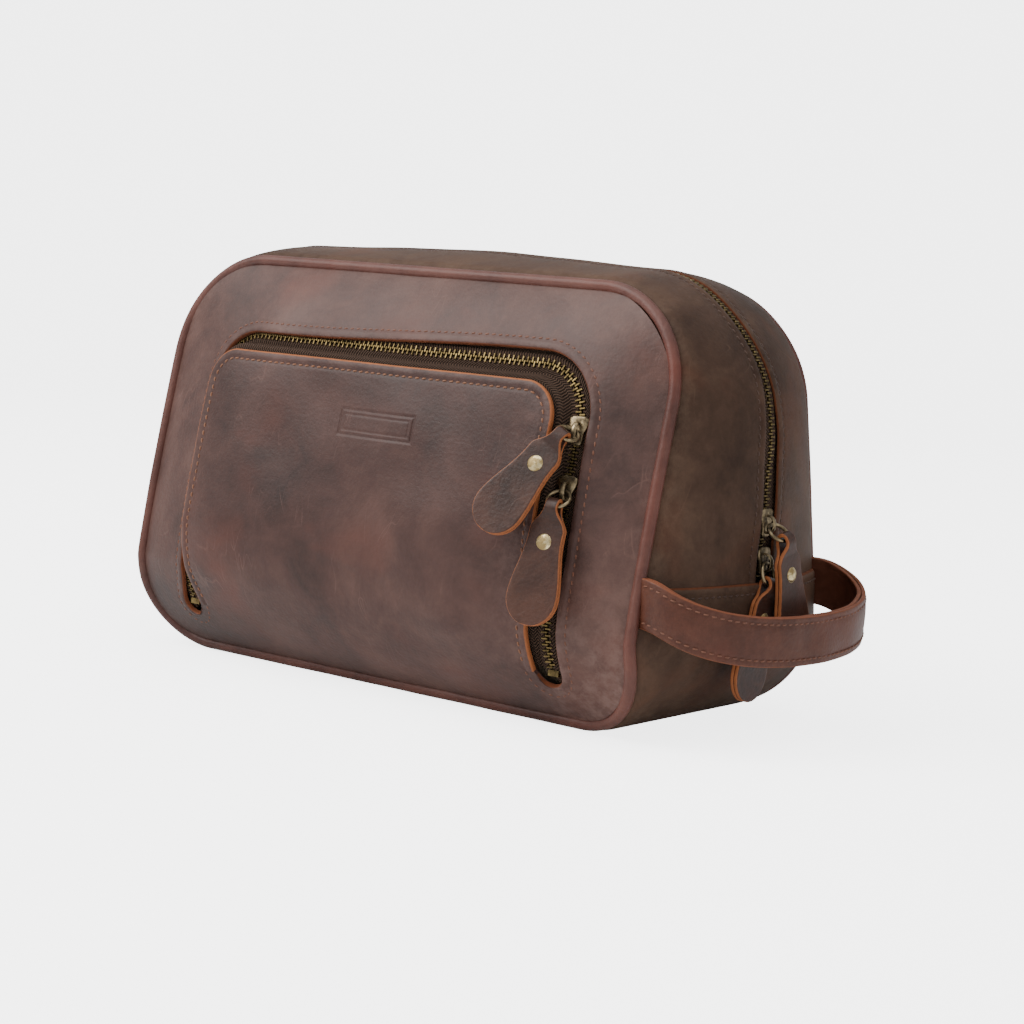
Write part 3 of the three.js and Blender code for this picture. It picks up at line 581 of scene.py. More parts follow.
def make_piece(name, points, faces, material, scalars=None, weave=None, crease=50):
    """A mesh piece from points in millimetres. Its rest attribute keeps each point's place for textures."""
    points = np.asarray(points, float).reshape(-1, 3)
    mesh = bpy.data.meshes.new(name)
    mesh.from_pydata((points * MM).tolist(), [], faces)
    mesh.validate()

    def keep(key, kind, field, values):
        attribute = mesh.attributes.new(key, kind, "POINT")
        attribute.data.foreach_set(field, np.asarray(values, float).ravel())

    keep("rest", "FLOAT_VECTOR", "vector", points * MM)
    for key, values in (scalars or {}).items():
        keep(key, "FLOAT", "value", values)
    if weave is not None:
        keep("weave", "FLOAT_VECTOR", "vector", weave)
    mesh.materials.append(material)
    mesh.polygons.foreach_set("use_smooth", [True] * len(mesh.polygons))
    mesh.set_sharp_from_angle(angle=math.radians(crease))
    return linked(name, mesh)


def grid_quads(rows, columns, start=0, wrap_rows=False, wrap_columns=False, flip=False):
    """Faces over a grid of points that is numbered row by row."""
    i = np.arange(rows if wrap_rows else rows - 1)[:, None]
    j = np.arange(columns if wrap_columns else columns - 1)[None, :]
    i, j = np.broadcast_arrays(i, j)
    next_i, next_j = (i + 1) % rows, (j + 1) % columns
    corners = [i * columns + j, next_i * columns + j, next_i * columns + next_j, i * columns + next_j]
    if flip:
        corners.reverse()
    return (np.stack(corners, -1).reshape(-1, 4) + start).tolist()


def tube_faces(rings, sides, start=0, flip=False):
    """Faces over a stack of rings, with a cap at both ends."""
    first = list(range(start, start + sides))
    last = [number + (rings - 1) * sides for number in first]
    caps = [first, last[::-1]] if flip else [first[::-1], last]
    return grid_quads(rings, sides, start, wrap_columns=True, flip=flip) + caps


def sheet_faces(rows, columns, wrap_rows=False):
    """Faces of a closed sheet made of an outer grid followed by an inner grid of the same size."""
    count = rows * columns
    faces = grid_quads(rows, columns, 0, wrap_rows) + grid_quads(rows, columns, count, wrap_rows, flip=True)
    numbers = np.arange(count).reshape(rows, columns)
    if wrap_rows:
        numbers = np.concatenate([numbers, numbers[:1]])
    rims = [(numbers[:, 0], 1), (numbers[:, -1], -1)]
    if not wrap_rows:
        rims += [(numbers[0], -1), (numbers[-1], 1)]
    for line, way in rims:
        quads = np.stack([line[:-1], line[1:], line[1:] + count, line[:-1] + count], -1)
        faces += quads[:, ::way].tolist()
    return faces


def sheet_piece(name, grids, material, turned=None, weave=None, wrap_rows=False, **looks):
    """A closed sheet from its outer and inner grids. looks are its raw, wear and painted shade values.
    turned reverses its "rows" or "columns", so that its faces point outwards."""
    order = {"rows": np.s_[::-1], "columns": np.s_[:, ::-1]}.get(turned, np.s_[:])
    rows, columns = grids[0].shape[:2]
    points = np.concatenate([grid[order].reshape(-1, 3) for grid in grids])
    scalars = {}
    for key, values in looks.items():
        scalars[key] = np.tile(np.broadcast_to(values, (rows, columns))[order].ravel(), 2)
    if weave is not None:
        weave = np.tile(weave[order].reshape(-1, 3), (2, 1))
    return make_piece(name, points, sheet_faces(rows, columns, wrap_rows), material, scalars, weave)


def circle(count):
    """The cosines and sines of even steps round a circle."""
    turn = np.linspace(0, 2 * math.pi, count, endpoint=False)
    return np.cos(turn), np.sin(turn)


def tube_piece(name, path, radii, material, closed=False, sides=14, across=(0, 1, 0), scalars=None):
    """A round or oval bar along a row of points. radii is one or two values, or a row of them per point."""
    path, across = np.asarray(path, float), np.array(across)
    if closed:
        ahead, behind = np.roll(path, -1, 0), np.roll(path, 1, 0)
        faces = grid_quads(len(path), sides, wrap_rows=True, wrap_columns=True, flip=True)
    else:
        ahead, behind = np.concatenate([path[1:], path[-1:]]), np.concatenate([path[:1], path[:-1]])
        faces = tube_faces(len(path), sides, flip=True)
    axis = unit(ahead - behind)
    first = unit(across - axis * (axis @ across)[:, None])
    second = np.cross(axis, first)
    radii = np.broadcast_to(np.asarray(radii, float), (len(path), 2))[..., None, None]
    cosines, sines = [values[None, :, None] for values in circle(sides)]
    ring = first[:, None] * cosines * radii[:, 0] + second[:, None] * sines * radii[:, 1]
    return make_piece(name, path[:, None] + ring, faces, material, scalars)


def join(name, pieces):
    """Several meshes as one piece."""
    for piece in bpy.context.selected_objects:
        piece.select_set(False)
    for piece in pieces:
        piece.select_set(True)
    bpy.context.view_layer.objects.active = pieces[0]
    bpy.ops.object.join()
    pieces[0].name = name
    return pieces[0]


def roll(distance, radius=0.7):
    """How far a leather surface drops at this distance from its cut edge."""
    inside = np.clip(distance / radius, 0, 1)
    return radius * (1 - np.sqrt(1 - (1 - inside) ** 2))


def groove(distance, at, depth=0.35, width=0.8):
    """The dent that a row of stitches pulls into leather."""
    return depth * bell(distance - at, width)


def cut_edge(gap, lip=0.4, at=1.8, width=2):
    """How far leather lies down beside a cut edge. A low lip stands up between the edge and its stitches."""
    return roll(gap) + groove(gap, STITCH_INSET) - lip * bell(gap - at, width)


def panel_shell(reach, side, x, z, *depths):
    """A grid of points on a panel at each of the depths."""
    return [surface_point(reach, side, x, z, depth)[0] for depth in depths]


def gusset_shell(stations, y, *depths):
    """A grid of points on the gusset at each of the depths."""
    return [gusset_point(stations, y, depth)[0] for depth in depths]


# ---- Fixing pieces to their bodies ----
def up_to(height):
    return (0, 0, height * MM)


REAR_BLEND = ("bag", "rear_half", up_to(SEAM_Z + 1), up_to(SEAM_Z + 62))
FLAP_BLEND = ("bag", "pocket_flap", up_to(FOLD_Z), up_to(FOLD_Z + 26))
ZIP_BLEND = ("bag", "pocket_flap", up_to(FOLD_Z + 1), up_to(FOLD_Z + 26))
STRAP_BLEND = ("bag", "handle", ((HALF_WIDTH + 2) * MM, 0, 0), ((STRAP_START + 9) * MM, 0, 0))


def dress(piece, slot, *nodes, body="bag", blend=None):
    """Fixes a piece to one body in place of the CAD nodes that it shows. With blend it is neither fixed nor
    bent: only its transform is baked.
    """
    if blend:
        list(blend)
        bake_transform(piece)
    else:
        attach(piece, body)
    if nodes:
        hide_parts(*nodes)


# ---- Leather shells ----
def chain(*stretches):
    """One outline from stretches of x and z. Either may be one value that holds for its stretch."""
    stretches = [np.broadcast_arrays(x, z) for x, z in stretches]
    return [np.concatenate(values) for values in zip(*stretches)]


def shoulder(half, low, high, radius, counts):
    """The stretches that both outlines end with: the leg up from low, the corner and half of the top."""
    _, corner, leg, top = counts
    turn = np.linspace(0, math.pi / 2, corner, endpoint=False)
    return (
        (half, np.linspace(low, high - radius, leg, endpoint=False)),
        (half - radius + radius * np.cos(turn), high - radius + radius * np.sin(turn)),
        (np.linspace(half - radius, 0, top), high),
    )


def rounded_outline(half, low, high, low_radius, high_radius, counts):
    """Right half of a rounded outline, from the middle of its bottom to the middle of its top."""
    bottom, corner = counts[:2]
    turn = np.linspace(0, math.pi / 2, corner, endpoint=False)
    return chain(
        (np.linspace(0, half - low_radius, bottom, endpoint=False), low),
        (half - low_radius + low_radius * np.sin(turn), low + low_radius * (1 - np.cos(turn))),
        *shoulder(half, low + low_radius, high, high_radius, counts),
    )


def slot_outline(counts):
    """Right half of the pocket's hole, matched stretch by stretch with rounded_outline."""
    bottom, corner = counts[:2]
    grow = SLOT_INNER + SLOT_OUTER
    turn = np.linspace(0, math.pi, corner, endpoint=False)
    return chain(
        (np.linspace(0, FLAP_HALF, bottom, endpoint=False), FOLD_Z),
        (FLAP_HALF + SLOT_END - SLOT_END * np.cos(turn), FOLD_Z - SLOT_END * np.sin(turn)),
        *shoulder(FLAP_HALF + grow, FOLD_Z, FLAP_TOP + grow, FLAP_CORNER + grow, counts),
    )


def whole(x, z):
    """Both halves of an outline from its right half."""
    return np.concatenate([x, -x[-2:0:-1]]), np.concatenate([z, z[-2:0:-1]])


def front_panel():
    """The front leather from the piping to the arched slot, rolled at the slot's cut edge."""
    counts = (40, 26, 46, 50)
    edge = (HALF_WIDTH - PANEL_TUCK, BASE_Z + PANEL_TUCK, TOP_Z - PANEL_TUCK, LOW_CORNER, TOP_CORNER)
    edge_x, edge_z = [values[:, None] for values in whole(*rounded_outline(*edge, counts))]
    hole_x, hole_z = [values[:, None] for values in slot_overlap(*whole(*slot_outline(counts)))]
    far, near = 0.94 * np.linspace(0, 1, 34)[:-1], 0.94 + 0.06 * np.linspace(0, 1, 12) ** 0.6
    share = 1 - np.concatenate([far, near])[None, :]  # 1 at the piping, 0 at the slot
    x, z = hole_x + (edge_x - hole_x) * share, hole_z + (edge_z - hole_z) * share
    gap = np.hypot(x - hole_x, z - hole_z)
    cut = (np.abs(hole_x) > FLAP_HALF + 0.3) | (hole_z > FOLD_Z + 1)
    depth = np.where(cut, cut_edge(gap, 0.5, 2, 2.4), 0)
    grids = panel_shell(front_reach, -1, x, z, depth, LEATHER - np.where(cut, roll(gap, 0.4), 0))
    raw = np.where(cut, np.clip(1 - gap / 0.5, 0, 1), 0)
    corner = smooth(70, 125, x) * smooth(70, 15, z)
    wear = 0.35 * np.where(cut, np.exp(-gap / 3), 0) + corner * 0.9 + 0.25 * smooth(0.75, 1, share)
    # Painted shade on the panel, fading out within 16 mm of the flap's fold so that it runs on from the flap.
    deep = 0.4 * smooth(16, 0, gap) * np.where(cut, 0, 1)
    return sheet_piece("front_leather", grids, panel_leather, wrap_rows=True, raw=raw, wear=wear, deep=deep)


def emblem(x, z):
    """How deep a plain double frame, with nothing inside it, is stamped into the flap."""
    outside = np.maximum(np.abs(x - EMBLEM_X) - EMBLEM_WIDE / 2, np.abs(z - EMBLEM_Z) - EMBLEM_TALL / 2)
    return 0.42 * bell(outside, 0.55) + 0.2 * bell(outside + 1.9, 0.5)


def stamped(middle, size, step, margin=2):
    """Grid lines close enough together to carry the stamped frame."""
    return np.arange(middle - size / 2 - margin, middle + size / 2 + margin, step)


def pocket_flap():
    """The tongue of leather inside the slot, folded along its lower edge."""
    rise = FOLD_Z + (FLAP_TOP - FOLD_Z) * np.sin(np.linspace(0, 1, 90) * math.pi / 2)
    z = np.unique(np.concatenate([rise, stamped(EMBLEM_Z, EMBLEM_TALL, 0.35)]))[:, None]
    above = np.clip(z - (FLAP_TOP - FLAP_CORNER), 0, FLAP_CORNER)
    half = FLAP_HALF - FLAP_CORNER + np.sqrt(FLAP_CORNER**2 - above**2)
    across = np.concatenate([crowded(130), stamped(EMBLEM_X, EMBLEM_WIDE, 0.4) / FLAP_HALF])
    x = half * np.unique(across)[None, :]
    z = z + 0 * x
    gap = np.maximum(-(slot_distance(x, z) + SLOT_INNER), 0)
    grids = panel_shell(flap_reach, -1, x, z, cut_edge(gap) + emblem(x, z), LEATHER - roll(gap, 0.4))
    raw = np.clip(1.5 - gap / 0.75, 0, 1)
    wear = 0.45 * np.exp(-gap / 2.5) + 0.3 * smooth(60, 95, x)
    # Painted shade: the flap is darkened, partly at its fold and fully from 34 mm above it.
    deep = 0.4 + 0.6 * smooth(FOLD_Z, FOLD_Z + 34, z)
    return sheet_piece("flap_leather", grids, flap_leather, "rows", raw=raw, wear=wear, deep=deep)


def panel_grid(rows, columns, inset):
    """A grid over a rounded panel, this far inside its piping."""
    low, high = BASE_Z + inset, TOP_Z - inset
    z = ((low + high) / 2 + (high - low) / 2 * crowded(rows))[:, None]
    half = HALF_WIDTH - inset + 0 * z
    for past, corner in ((BASE_Z + LOW_CORNER - z, LOW_CORNER), (z - TOP_Z + TOP_CORNER, TOP_CORNER)):
        radius = corner - inset
        half -= radius - np.sqrt(radius**2 - np.clip(past, 0, radius) ** 2)
    x = half * crowded(columns)[None, :]
    return x, z + 0 * x


def back_panel():
    x, z = panel_grid(110, 130, PANEL_TUCK)
    wear = 0.5 * smooth(0.86, 1, np.abs(x) / HALF_WIDTH) + 0.3 * smooth(30, 8, z)
    grids = panel_shell(back_reach, 1, x, z, 0 * x, LEATHER + 0 * x)
    return sheet_piece("back_leather", grids, panel_leather, wear=wear)


def piping(name, side):
    """Leather-wrapped cord round a panel, a little uneven as hand-turned piping is."""
    over, under = gusset_arch(SEAM_Z), gusset_cradle(SEAM_Z)
    x, z = [np.concatenate([over[k], under[k][-2:0:-1]]) for k in (0, 1)]
    along, sides = np.arange(len(x)), 14
    radius = CORD * (1 + 0.02 * waves(along, 0 * along, 22, 5 + side))
    path = np.stack([x, side * half_depth(z), z], -1)
    wear = np.full(len(x) * sides, 0.16)
    return tube_piece(name, path, radius[:, None], piping_leather, True, sides, scalars={"wear": wear})


def gusset_half(name, side):
    """One long strip of gusset, from one end of the bag over the top to the other, under the base band."""
    stations = gusset_arch(SEAM_Z - 9)
    share = np.concatenate([0.88 * np.linspace(0, 1, 34) ** 1.7, np.linspace(0.9, 1, 12)])[None, :]
    far, near = gusset_edge(stations[1])[:, None], zip_gap(stations[1])[:, None]
    gap = (far - near) * share
    y = near + gap
    corner = np.clip(stations[2] * stations[3] * 2, 0, 1)[:, None]
    pucker = 0.2 * np.sin(np.arange(len(far))[:, None] * 0.9 + 2 * waves(y, far, 30, 4))
    skived = LEATHER - 1.0 * np.exp(-gap / 1.8)
    depth = cut_edge(gap) - pucker * smooth(0.6, 1, share) * corner
    grids = gusset_shell(stations, side * y, depth, skived)
    raw = np.clip(1 - gap / 0.3, 0, 1)
    wear = 0.3 * np.exp(-gap / 3) + 0.35 * smooth(0.8, 1, share)
    return sheet_piece(name, grids, gusset_leather, "columns" if side < 0 else None, raw=raw, wear=wear)


def base_band():
    """The U-shaped band under the bag, whose raw upper edges overlap the gusset and the zip's ends."""
    stations = gusset_cradle(SEAM_Z, 1.2)
    z = stations[1][:, None]
    top = SEAM_Z - z
    y = gusset_edge(z) * crowded(75)[None, :]
    proud = BAND_PROUD * smooth(34, 56, z) * smooth(1, 8, half_depth(z) - np.abs(y))
    depth = roll(top, 0.9) + groove(top, STITCH_INSET) - proud
    grids = gusset_shell(stations, y, depth, LEATHER * 0.85 - proud)
    grids[0][..., 2] = np.maximum(grids[0][..., 2], 0)  # it rests on the floor
    raw = np.clip(1 - top / 1.2, 0, 1)
    wear = 0.35 * np.exp(-top / 4) + 0.7 * smooth(24, 4, z) * smooth(100, 120, stations[0][:, None])
    return sheet_piece("base_band_leather", grids, gusset_leather, raw=raw, wear=wear)


dress(front_panel(), "leather", "front_panel")
dress(pocket_flap(), "leather", "pocket_flap", blend=FLAP_BLEND)
dress(back_panel(), "leather", "back_panel_upper", "back_panel_lower", blend=REAR_BLEND)
dress(piping("front_piping_cord", -1), "piping_leather", "front_piping")
rear_cord = piping("rear_piping_cord", 1)
dress(rear_cord, "piping_leather", "rear_piping_upper", "rear_piping_lower", blend=REAR_BLEND)
dress(gusset_half("gusset_front_leather", -1), "leather", "gusset_front")
dress(gusset_half("gusset_rear_leather", 1), "leather", "gusset_rear", blend=REAR_BLEND)
dress(base_band(), "leather", "base_band")


# ---- Linings ----
def lining(name, side, depth, seed):
    x, z = panel_grid(60, 80, 9)
    loose = 0.8 * waves(x, z, 34, seed) + 0.35 * waves(x, z, 15, seed + 1)
    reach = panel_reach(x, z, FRONT_DOME if side < 0 else BACK_DOME) - depth + loose * edge_fade(x, z)
    grids = [np.stack([x, side * (reach - under), z], -1) for under in (0, 0.6)]
    return sheet_piece(name, grids, lining_cotton, "rows" if side < 0 else None)


def base_lining():
    stations = gusset_cradle(SEAM_Z - 6, 3)
    y = (gusset_edge(stations[1])[:, None] - 9) * np.linspace(-1, 1, 40)[None, :]
    loose = 0.25 * waves((stations[0] + stations[1])[:, None], y, 22, 51)
    grids = gusset_shell(stations, y, 5.2 + loose, 6.0 + loose)
    return sheet_piece("base_lining_cotton", grids, lining_cotton)


dress(lining("pocket_backing_cotton", -1, 7.6, 31), "lining_fabric", "pocket_backing")
dress(lining("front_lining_cotton", -1, 10, 37), "lining_fabric", "lining_front")
rear_lining = lining("rear_lining_cotton", 1, 10, 41)
dress(rear_lining, "lining_fabric", "lining_rear_upper", "lining_rear_lower", blend=REAR_BLEND)
dress(base_lining(), "lining_fabric", "lining_base")


# ---- Zips ----
def tape_sheet(name, side, grids, across):
    """A zip tape, with the distance along and across it in its weave attribute, in metres."""
    shape = grids[0].shape[:2]
    along = np.broadcast_to(distances(grids[0][:, shape[1] // 2])[:, None], shape)
    weave = np.stack([along * MM, np.broadcast_to(across, shape) * MM, 0 * along], -1)
    return sheet_piece(name, grids, tape_fabric, "columns" if side < 0 else None, weave)


def main_tape(name, side):
    stations = gusset_arch(SEAM_Z - 6)
    y = np.linspace(TAPE_EDGE, TAPE_WIDTH, 24)[None, :]
    tucked = smooth(3, 5, y)
    depth = main_zip_depth(stations[1])[:, None] * (1 - tucked) + TAPE_DEPTH * tucked
    return tape_sheet(name, side, gusset_shell(stations, side * y, depth - TAPE_HALF, depth + TAPE_HALF), y)


def pocket_surface(widths, end, depth, lift):
    """Points along the pocket's zip for a row of distances from its middle."""
    columns = []
    for width in widths:
        x, z, _, _ = pocket_arch(width, end)
        columns.append(surface_point(front_reach, -1, x, z, depth - lift(width, x, z))[0])
    places = np.linspace(0, 1, min(len(column) for column in columns))
    return np.stack([resample(column, np.linspace(0, 1, len(column)), places) for column in columns], 1)


def outer_lift(width, x, z):
    """How far the panel's side of the zip stands out. Its tape tucks in under the leather."""
    return -TAPE_TUCK * smooth(3, SLOT_OUTER, abs(width)) + 0 * z


def inner_lift(width, x, z):
    """The flap's side rises with the flap."""
    return flap_proud(x, z) * smooth(3.4, SLOT_INNER, -width) + outer_lift(width, x, z)


def pocket_tape(name, side, end, lift):
    widths = side * np.linspace(TAPE_EDGE, TAPE_WIDTH, 20)
    grids = [pocket_surface(widths, end, TAPE_DEPTH + half, lift) for half in (-TAPE_HALF, TAPE_HALF)]
    return tape_sheet(name, side, grids, widths[None, :])


TOOTH_PROFILE = (  # across the zip from the tape towards the middle, and half of the tooth's length along it
    (2.1, 0.26),
    (1.75, 0.38),
    (1.1, 0.38),
    (0.65, 0.32),
    (0.18, 0.45),
    (-0.32, 0.43),
    (-0.52, 0.25),
)
TOOTH_LAYERS = ((-0.95, 0.8), (-0.75, 1.0), (0.75, 1.0), (0.98, 0.72))  # heights, and the size there
TOOTH_MIDDLE = 1.1


def teeth(name, middle, outs, side):
    """A row of cast teeth that reach across the zip's middle line to lock with the other row."""
    at, way, lift = walk(middle, outs, TOOTH_PITCH, 0.5, 0.5 + 0.25 * side)
    across = unit(np.cross(way, lift)) * side
    profile = np.array([*TOOTH_PROFILE, *((place, -half) for place, half in reversed(TOOTH_PROFILE))])
    rings = []
    for height, scale in TOOTH_LAYERS:
        width = TOOTH_MIDDLE + (profile[:, 0] - TOOTH_MIDDLE) * (0.5 + scale / 2)
        ring = across[:, None] * width[None, :, None] + way[:, None] * (profile[:, 1] * scale)[None, :, None]
        rings.append(at[:, None] + ring + lift[:, None] * height)
    size, faces = len(profile), []
    for k in range(len(at)):
        faces += tube_faces(len(rings), size, k * size * len(rings), flip=side < 0)
    return make_piece(name, np.stack(rings, 1), faces, tooth_brass, crease=35)


for side, half, blend in ((-1, "front", None), (1, "rear", REAR_BLEND)):
    stations = gusset_arch(SEAM_Z + 1.5, 1.0)
    line, outs = gusset_point(stations, np.zeros((1, 1)), main_zip_depth(stations[1])[:, None])
    row = teeth(f"main_teeth_{half}_cast", line[:, 0], outs[:, 0], side)
    dress(row, "antique_brass", f"main_teeth_{half}", blend=blend)
    dress(main_tape(f"main_tape_{half}_woven", side), "zip_tape", f"main_tape_{half}", blend=blend)

x, z, _, _ = pocket_arch(0, FOLD_Z + 1, 1.0)
line, outs = surface_point(front_reach, -1, x, z, TAPE_DEPTH + 0 * x)
for side, part, end, lift, blend in (
    (1, "outer", SLOT_END_Z + 1, outer_lift, None),
    (-1, "inner", FOLD_Z, inner_lift, ZIP_BLEND),
):
    row = teeth(f"pocket_teeth_{part}_cast", line, outs, -side)
    dress(row, "antique_brass", f"pocket_teeth_{part}", blend=blend)
    tape = pocket_tape(f"pocket_tape_{part}_woven", side, end, lift)
    dress(tape, "zip_tape", f"pocket_tape_{part}", blend=blend)


# ---- Stitching ----
def seam(name, line, outs, colour=red_thread, blend=None, slot="leather", radius=0.36):
    """A row of thread stitches along points that lie on the leather, each dipping in at both ends."""
    middles, ways, lift = walk(line, outs, STITCH_PITCH, 0.4)
    ways = unit(ways + unit(np.cross(lift, ways)) * STITCH_LEAN)
    side = unit(np.cross(lift, ways))
    rings, sides = 7, 6
    run = np.linspace(-1, 1, rings)
    swell = radius * np.sqrt(np.clip(1.02 - run**4, 0.02, 1))
    height = radius * 0.55 - 0.75 * run**4
    middle = middles[:, None] + ways[:, None] * (run * STITCH_LENGTH / 2)[None, :, None]
    middle = middle + lift[:, None] * height[None, :, None]
    cosines, sines = [values[None, None, :, None] for values in circle(sides)]
    around = side[:, None, None] * cosines + lift[:, None, None] * sines
    faces = []
    for k in range(len(middles)):
        faces += tube_faces(rings, sides, k * rings * sides)
    row = make_piece(name, middle[:, :, None] + around * swell[None, :, None, None], faces, colour)
    dress(row, slot, blend=blend)


for side, half, blend in ((-1, "front", None), (1, "rear", REAR_BLEND)):
    stations = gusset_arch(SEAM_Z + 2)
    y = side * (zip_gap(stations[1])[:, None] + STITCH_INSET)
    line, outs = gusset_point(stations, y, STITCH_SUNK)
    seam(f"zip_seam_{half}", line[:, 0], outs[:, 0], dark_thread, blend)

x, z, _, _ = pocket_arch(SLOT_OUTER + STITCH_INSET, FOLD_Z)
turn = np.linspace(math.pi, 2 * math.pi, 26)[:-1]
end_x = FLAP_HALF + SLOT_END + (SLOT_END + STITCH_INSET) * np.cos(turn)
end_z = FOLD_Z + (SLOT_END + STITCH_INSET) * np.sin(turn)
x, z = slot_overlap(np.concatenate([end_x, x, -end_x[::-1]]), np.concatenate([end_z, z, end_z[::-1]]))
seam("slot_seam", *surface_point(front_reach, -1, x, z, STITCH_SUNK + 0 * x))
x, z, _, _ = pocket_arch(-SLOT_INNER - STITCH_INSET, FOLD_Z + 3)
seam("flap_seam", *surface_point(flap_reach, -1, x, z, STITCH_SUNK + 0 * x), tan_thread, FLAP_BLEND)

for side, hand in ((-1, "left"), (1, "right")):
    across = np.linspace(-1, 1, 90) * (gusset_edge(SEAM_Z) - 4)
    station = [np.array([value], float) for value in (side * HALF_WIDTH, SEAM_Z - STITCH_INSET, side, 0)]
    line, outs = gusset_point(station, across[None, :], 0.3 - BAND_PROUD)
    seam(f"band_seam_{hand}", line[0], outs[0], dark_thread)


# ---- The side strap ----
def strap_line(offset, count=150):
    """The strap's middle line, from its front seam round to its rear one, and the outward directions."""
    turn = np.linspace(0, math.pi, count)
    cosines, sines = np.cos(turn), np.sin(turn)
    along = -np.sign(cosines) * np.abs(cosines) ** 0.9
    out = np.clip(sines, 0, 1) ** 0.8
    x = STRAP_START + out * (STRAP_REACH * (1 + 0.12 * along) + offset)
    loop = np.stack([x, along * (half_depth(STRAP_Z) - 1.6 + offset), STRAP_Z - STRAP_DROOP * out], -1)
    tail = np.linspace(0, 1, 10)[:-1, None]
    sewn = np.array([HALF_WIDTH - 0.5, half_depth(STRAP_Z) - 4.5 + offset, STRAP_Z])  # beside the piping
    front, rear = sewn * (1, -1, 1), sewn
    points = np.concatenate([front + (loop[0] - front) * tail, loop, (rear + (loop[-1] - rear) * tail)[::-1]])
    for _ in range(30):
        points[1:-1] = (points[:-2] + 2 * points[1:-1] + points[2:]) / 4
    lengths = distances(points)
    points = resample(points, lengths, np.linspace(0, 1, len(points)) * lengths[-1])
    return points, unit(np.cross(unit(np.gradient(points, axis=0)), (0, 0, 1)))


def strap_layer(name, inner_offset, seed):
    line, outs = strap_line(inner_offset + STRAP_LAYER / 2)
    rise = STRAP_WIDTH / 2 * crowded(25)[None, :]
    gap = STRAP_WIDTH / 2 - np.abs(rise)
    thick = (STRAP_LAYER / 2 - roll(gap, 0.6) - groove(gap, STRAP_INSET, 0.22))[..., None]
    cup = 0.5 * (1 - (rise / (STRAP_WIDTH / 2)) ** 2)
    ripple = 0.25 * waves(np.linspace(0, 170, len(line))[:, None], rise, 26, seed)
    middle = line[:, None] + outs[:, None] * (cup + ripple)[..., None]
    middle[..., 2] += rise
    grids = [middle + outs[:, None] * thick, middle - outs[:, None] * thick]
    raw = np.clip(1 - gap / 0.7, 0, 1)
    wear = 0.5 * np.exp(-gap / 2) + 0.25
    return sheet_piece(name, grids, strap_leather, "columns", raw=raw, wear=wear)


for part, offset, seed in (("inner", 0, 61), ("outer", STRAP_LAYER + STRAP_GAP, 62)):
    layer = strap_layer(f"strap_{part}_leather", offset, seed)
    dress(layer, "strap_leather", f"handle_{part}", blend=STRAP_BLEND)

line, outs = strap_line(2 * STRAP_LAYER + STRAP_GAP)
for part, rise in (("low", STRAP_INSET - STRAP_WIDTH / 2), ("high", STRAP_WIDTH / 2 - STRAP_INSET)):
    row = line + np.array([0, 0, rise]) + outs * 0.12
    seam(f"strap_seam_{part}", row, outs, blend=STRAP_BLEND, slot="strap_leather", radius=0.32)


# ---- Sliders, rings and pulls ----
class Place:
    """A local frame, in millimetres. Its third axis, out, is square to right and up."""

    def __init__(self, origin, right, up):
        self.origin = np.array(origin, float)
        self.axes = np.array([right, up, np.cross(right, up)], float)

    def __call__(self, local):
        return self.origin + np.asarray(local, float) @ self.axes


def fitting_places(name):
    """Where a fitting's slider, ring and pull sit, read from its joints and its rivet."""
    swing, lift = JOINTS[f"{name}_ring_swing"], JOINTS[f"{name}_pull_lift"]
    hole, fold = np.array(swing["pos_m"]) / MM, np.array(lift["pos_m"]) / MM
    away = np.array([1.0, 0, 0]) if name.startswith("main") else np.array([0, -1.0, 0])
    out = np.array(swing["axis"], float)
    out = unit(out * np.sign(out @ away))
    up = unit(np.array([0, 0, 1.0]) - out * out[2])
    slider = Place(hole + up * 0.6 - out * 4.0, np.cross(up, out), up)
    ring_up, right = unit(hole - fold), unit(-np.array(lift["axis"], float))
    low, high = box_mm(f"{name}_rivet")
    ring = Place(hole - ring_up * RING_RADIUS, right, ring_up)
    return slider, ring, Place(fold, right, unit(fold - (low + high) / 2))


def stacked(name, place, outline, layers, crease=50):
    """A solid built from one outline. Each layer is a height and the outline's size there."""
    rings = []
    for height, scale in layers:
        rings.append(place(np.column_stack([outline * scale, np.full(len(outline), height)])))
    faces = tube_faces(len(rings), len(outline))
    return make_piece(name, np.concatenate(rings), faces, slider_bronze, crease=crease)


def slider_outline(half, long):
    """A slider's plate from above: a narrow tail and broad rounded shoulders."""
    points = []
    for y in np.linspace(-1, 1, 25):
        neck = 0.62 + 0.38 * smooth(-0.3, 0.5, y)
        end = np.sqrt(max(1 - max(abs(y) - 0.72, 0) ** 2 / 0.28**2, 0.02))
        points.append((half * neck * (0.45 + 0.55 * end), y * long))
    right = np.array(points)
    return np.concatenate([right, right[::-1] * (-1, 1)])


FRONT_PLATE = ((1.25, 0.93), (1.4, 1.0), (2.2, 1.0), (2.5, 0.93), (2.62, 0.8), (2.7, 0.5))
REAR_PLATE = ((-2.5, 0.9), (-2.3, 1.0), (-1.55, 1.0), (-1.45, 0.93))
POST = ((0.25, 4.9), (-0.25, 4.9), (-0.25, 1.8), (0.25, 1.8))


def slider_piece(name, place):
    """Two plates joined by a post, with the hoop that holds the ring."""
    outline = slider_outline(4.2, 5.5)
    parts = [
        stacked(f"{name}_plate_0", place, outline, FRONT_PLATE, 40),
        stacked(f"{name}_plate_1", place, outline, REAR_PLATE, 40),
        stacked(f"{name}_post", place, np.array(POST), ((-1.6, 1), (1.6, 1))),
    ]
    turn = np.linspace(0, math.pi, 28)
    hoop = place(np.column_stack([0 * turn, -0.5 + 3.4 * np.cos(turn), 2.35 + 3.55 * np.sin(turn) ** 0.75]))
    parts.append(tube_piece(f"{name}_hoop", hoop, (1.05, 0.48), slider_bronze, False, 10, place.axes[0]))
    return join(name, parts)


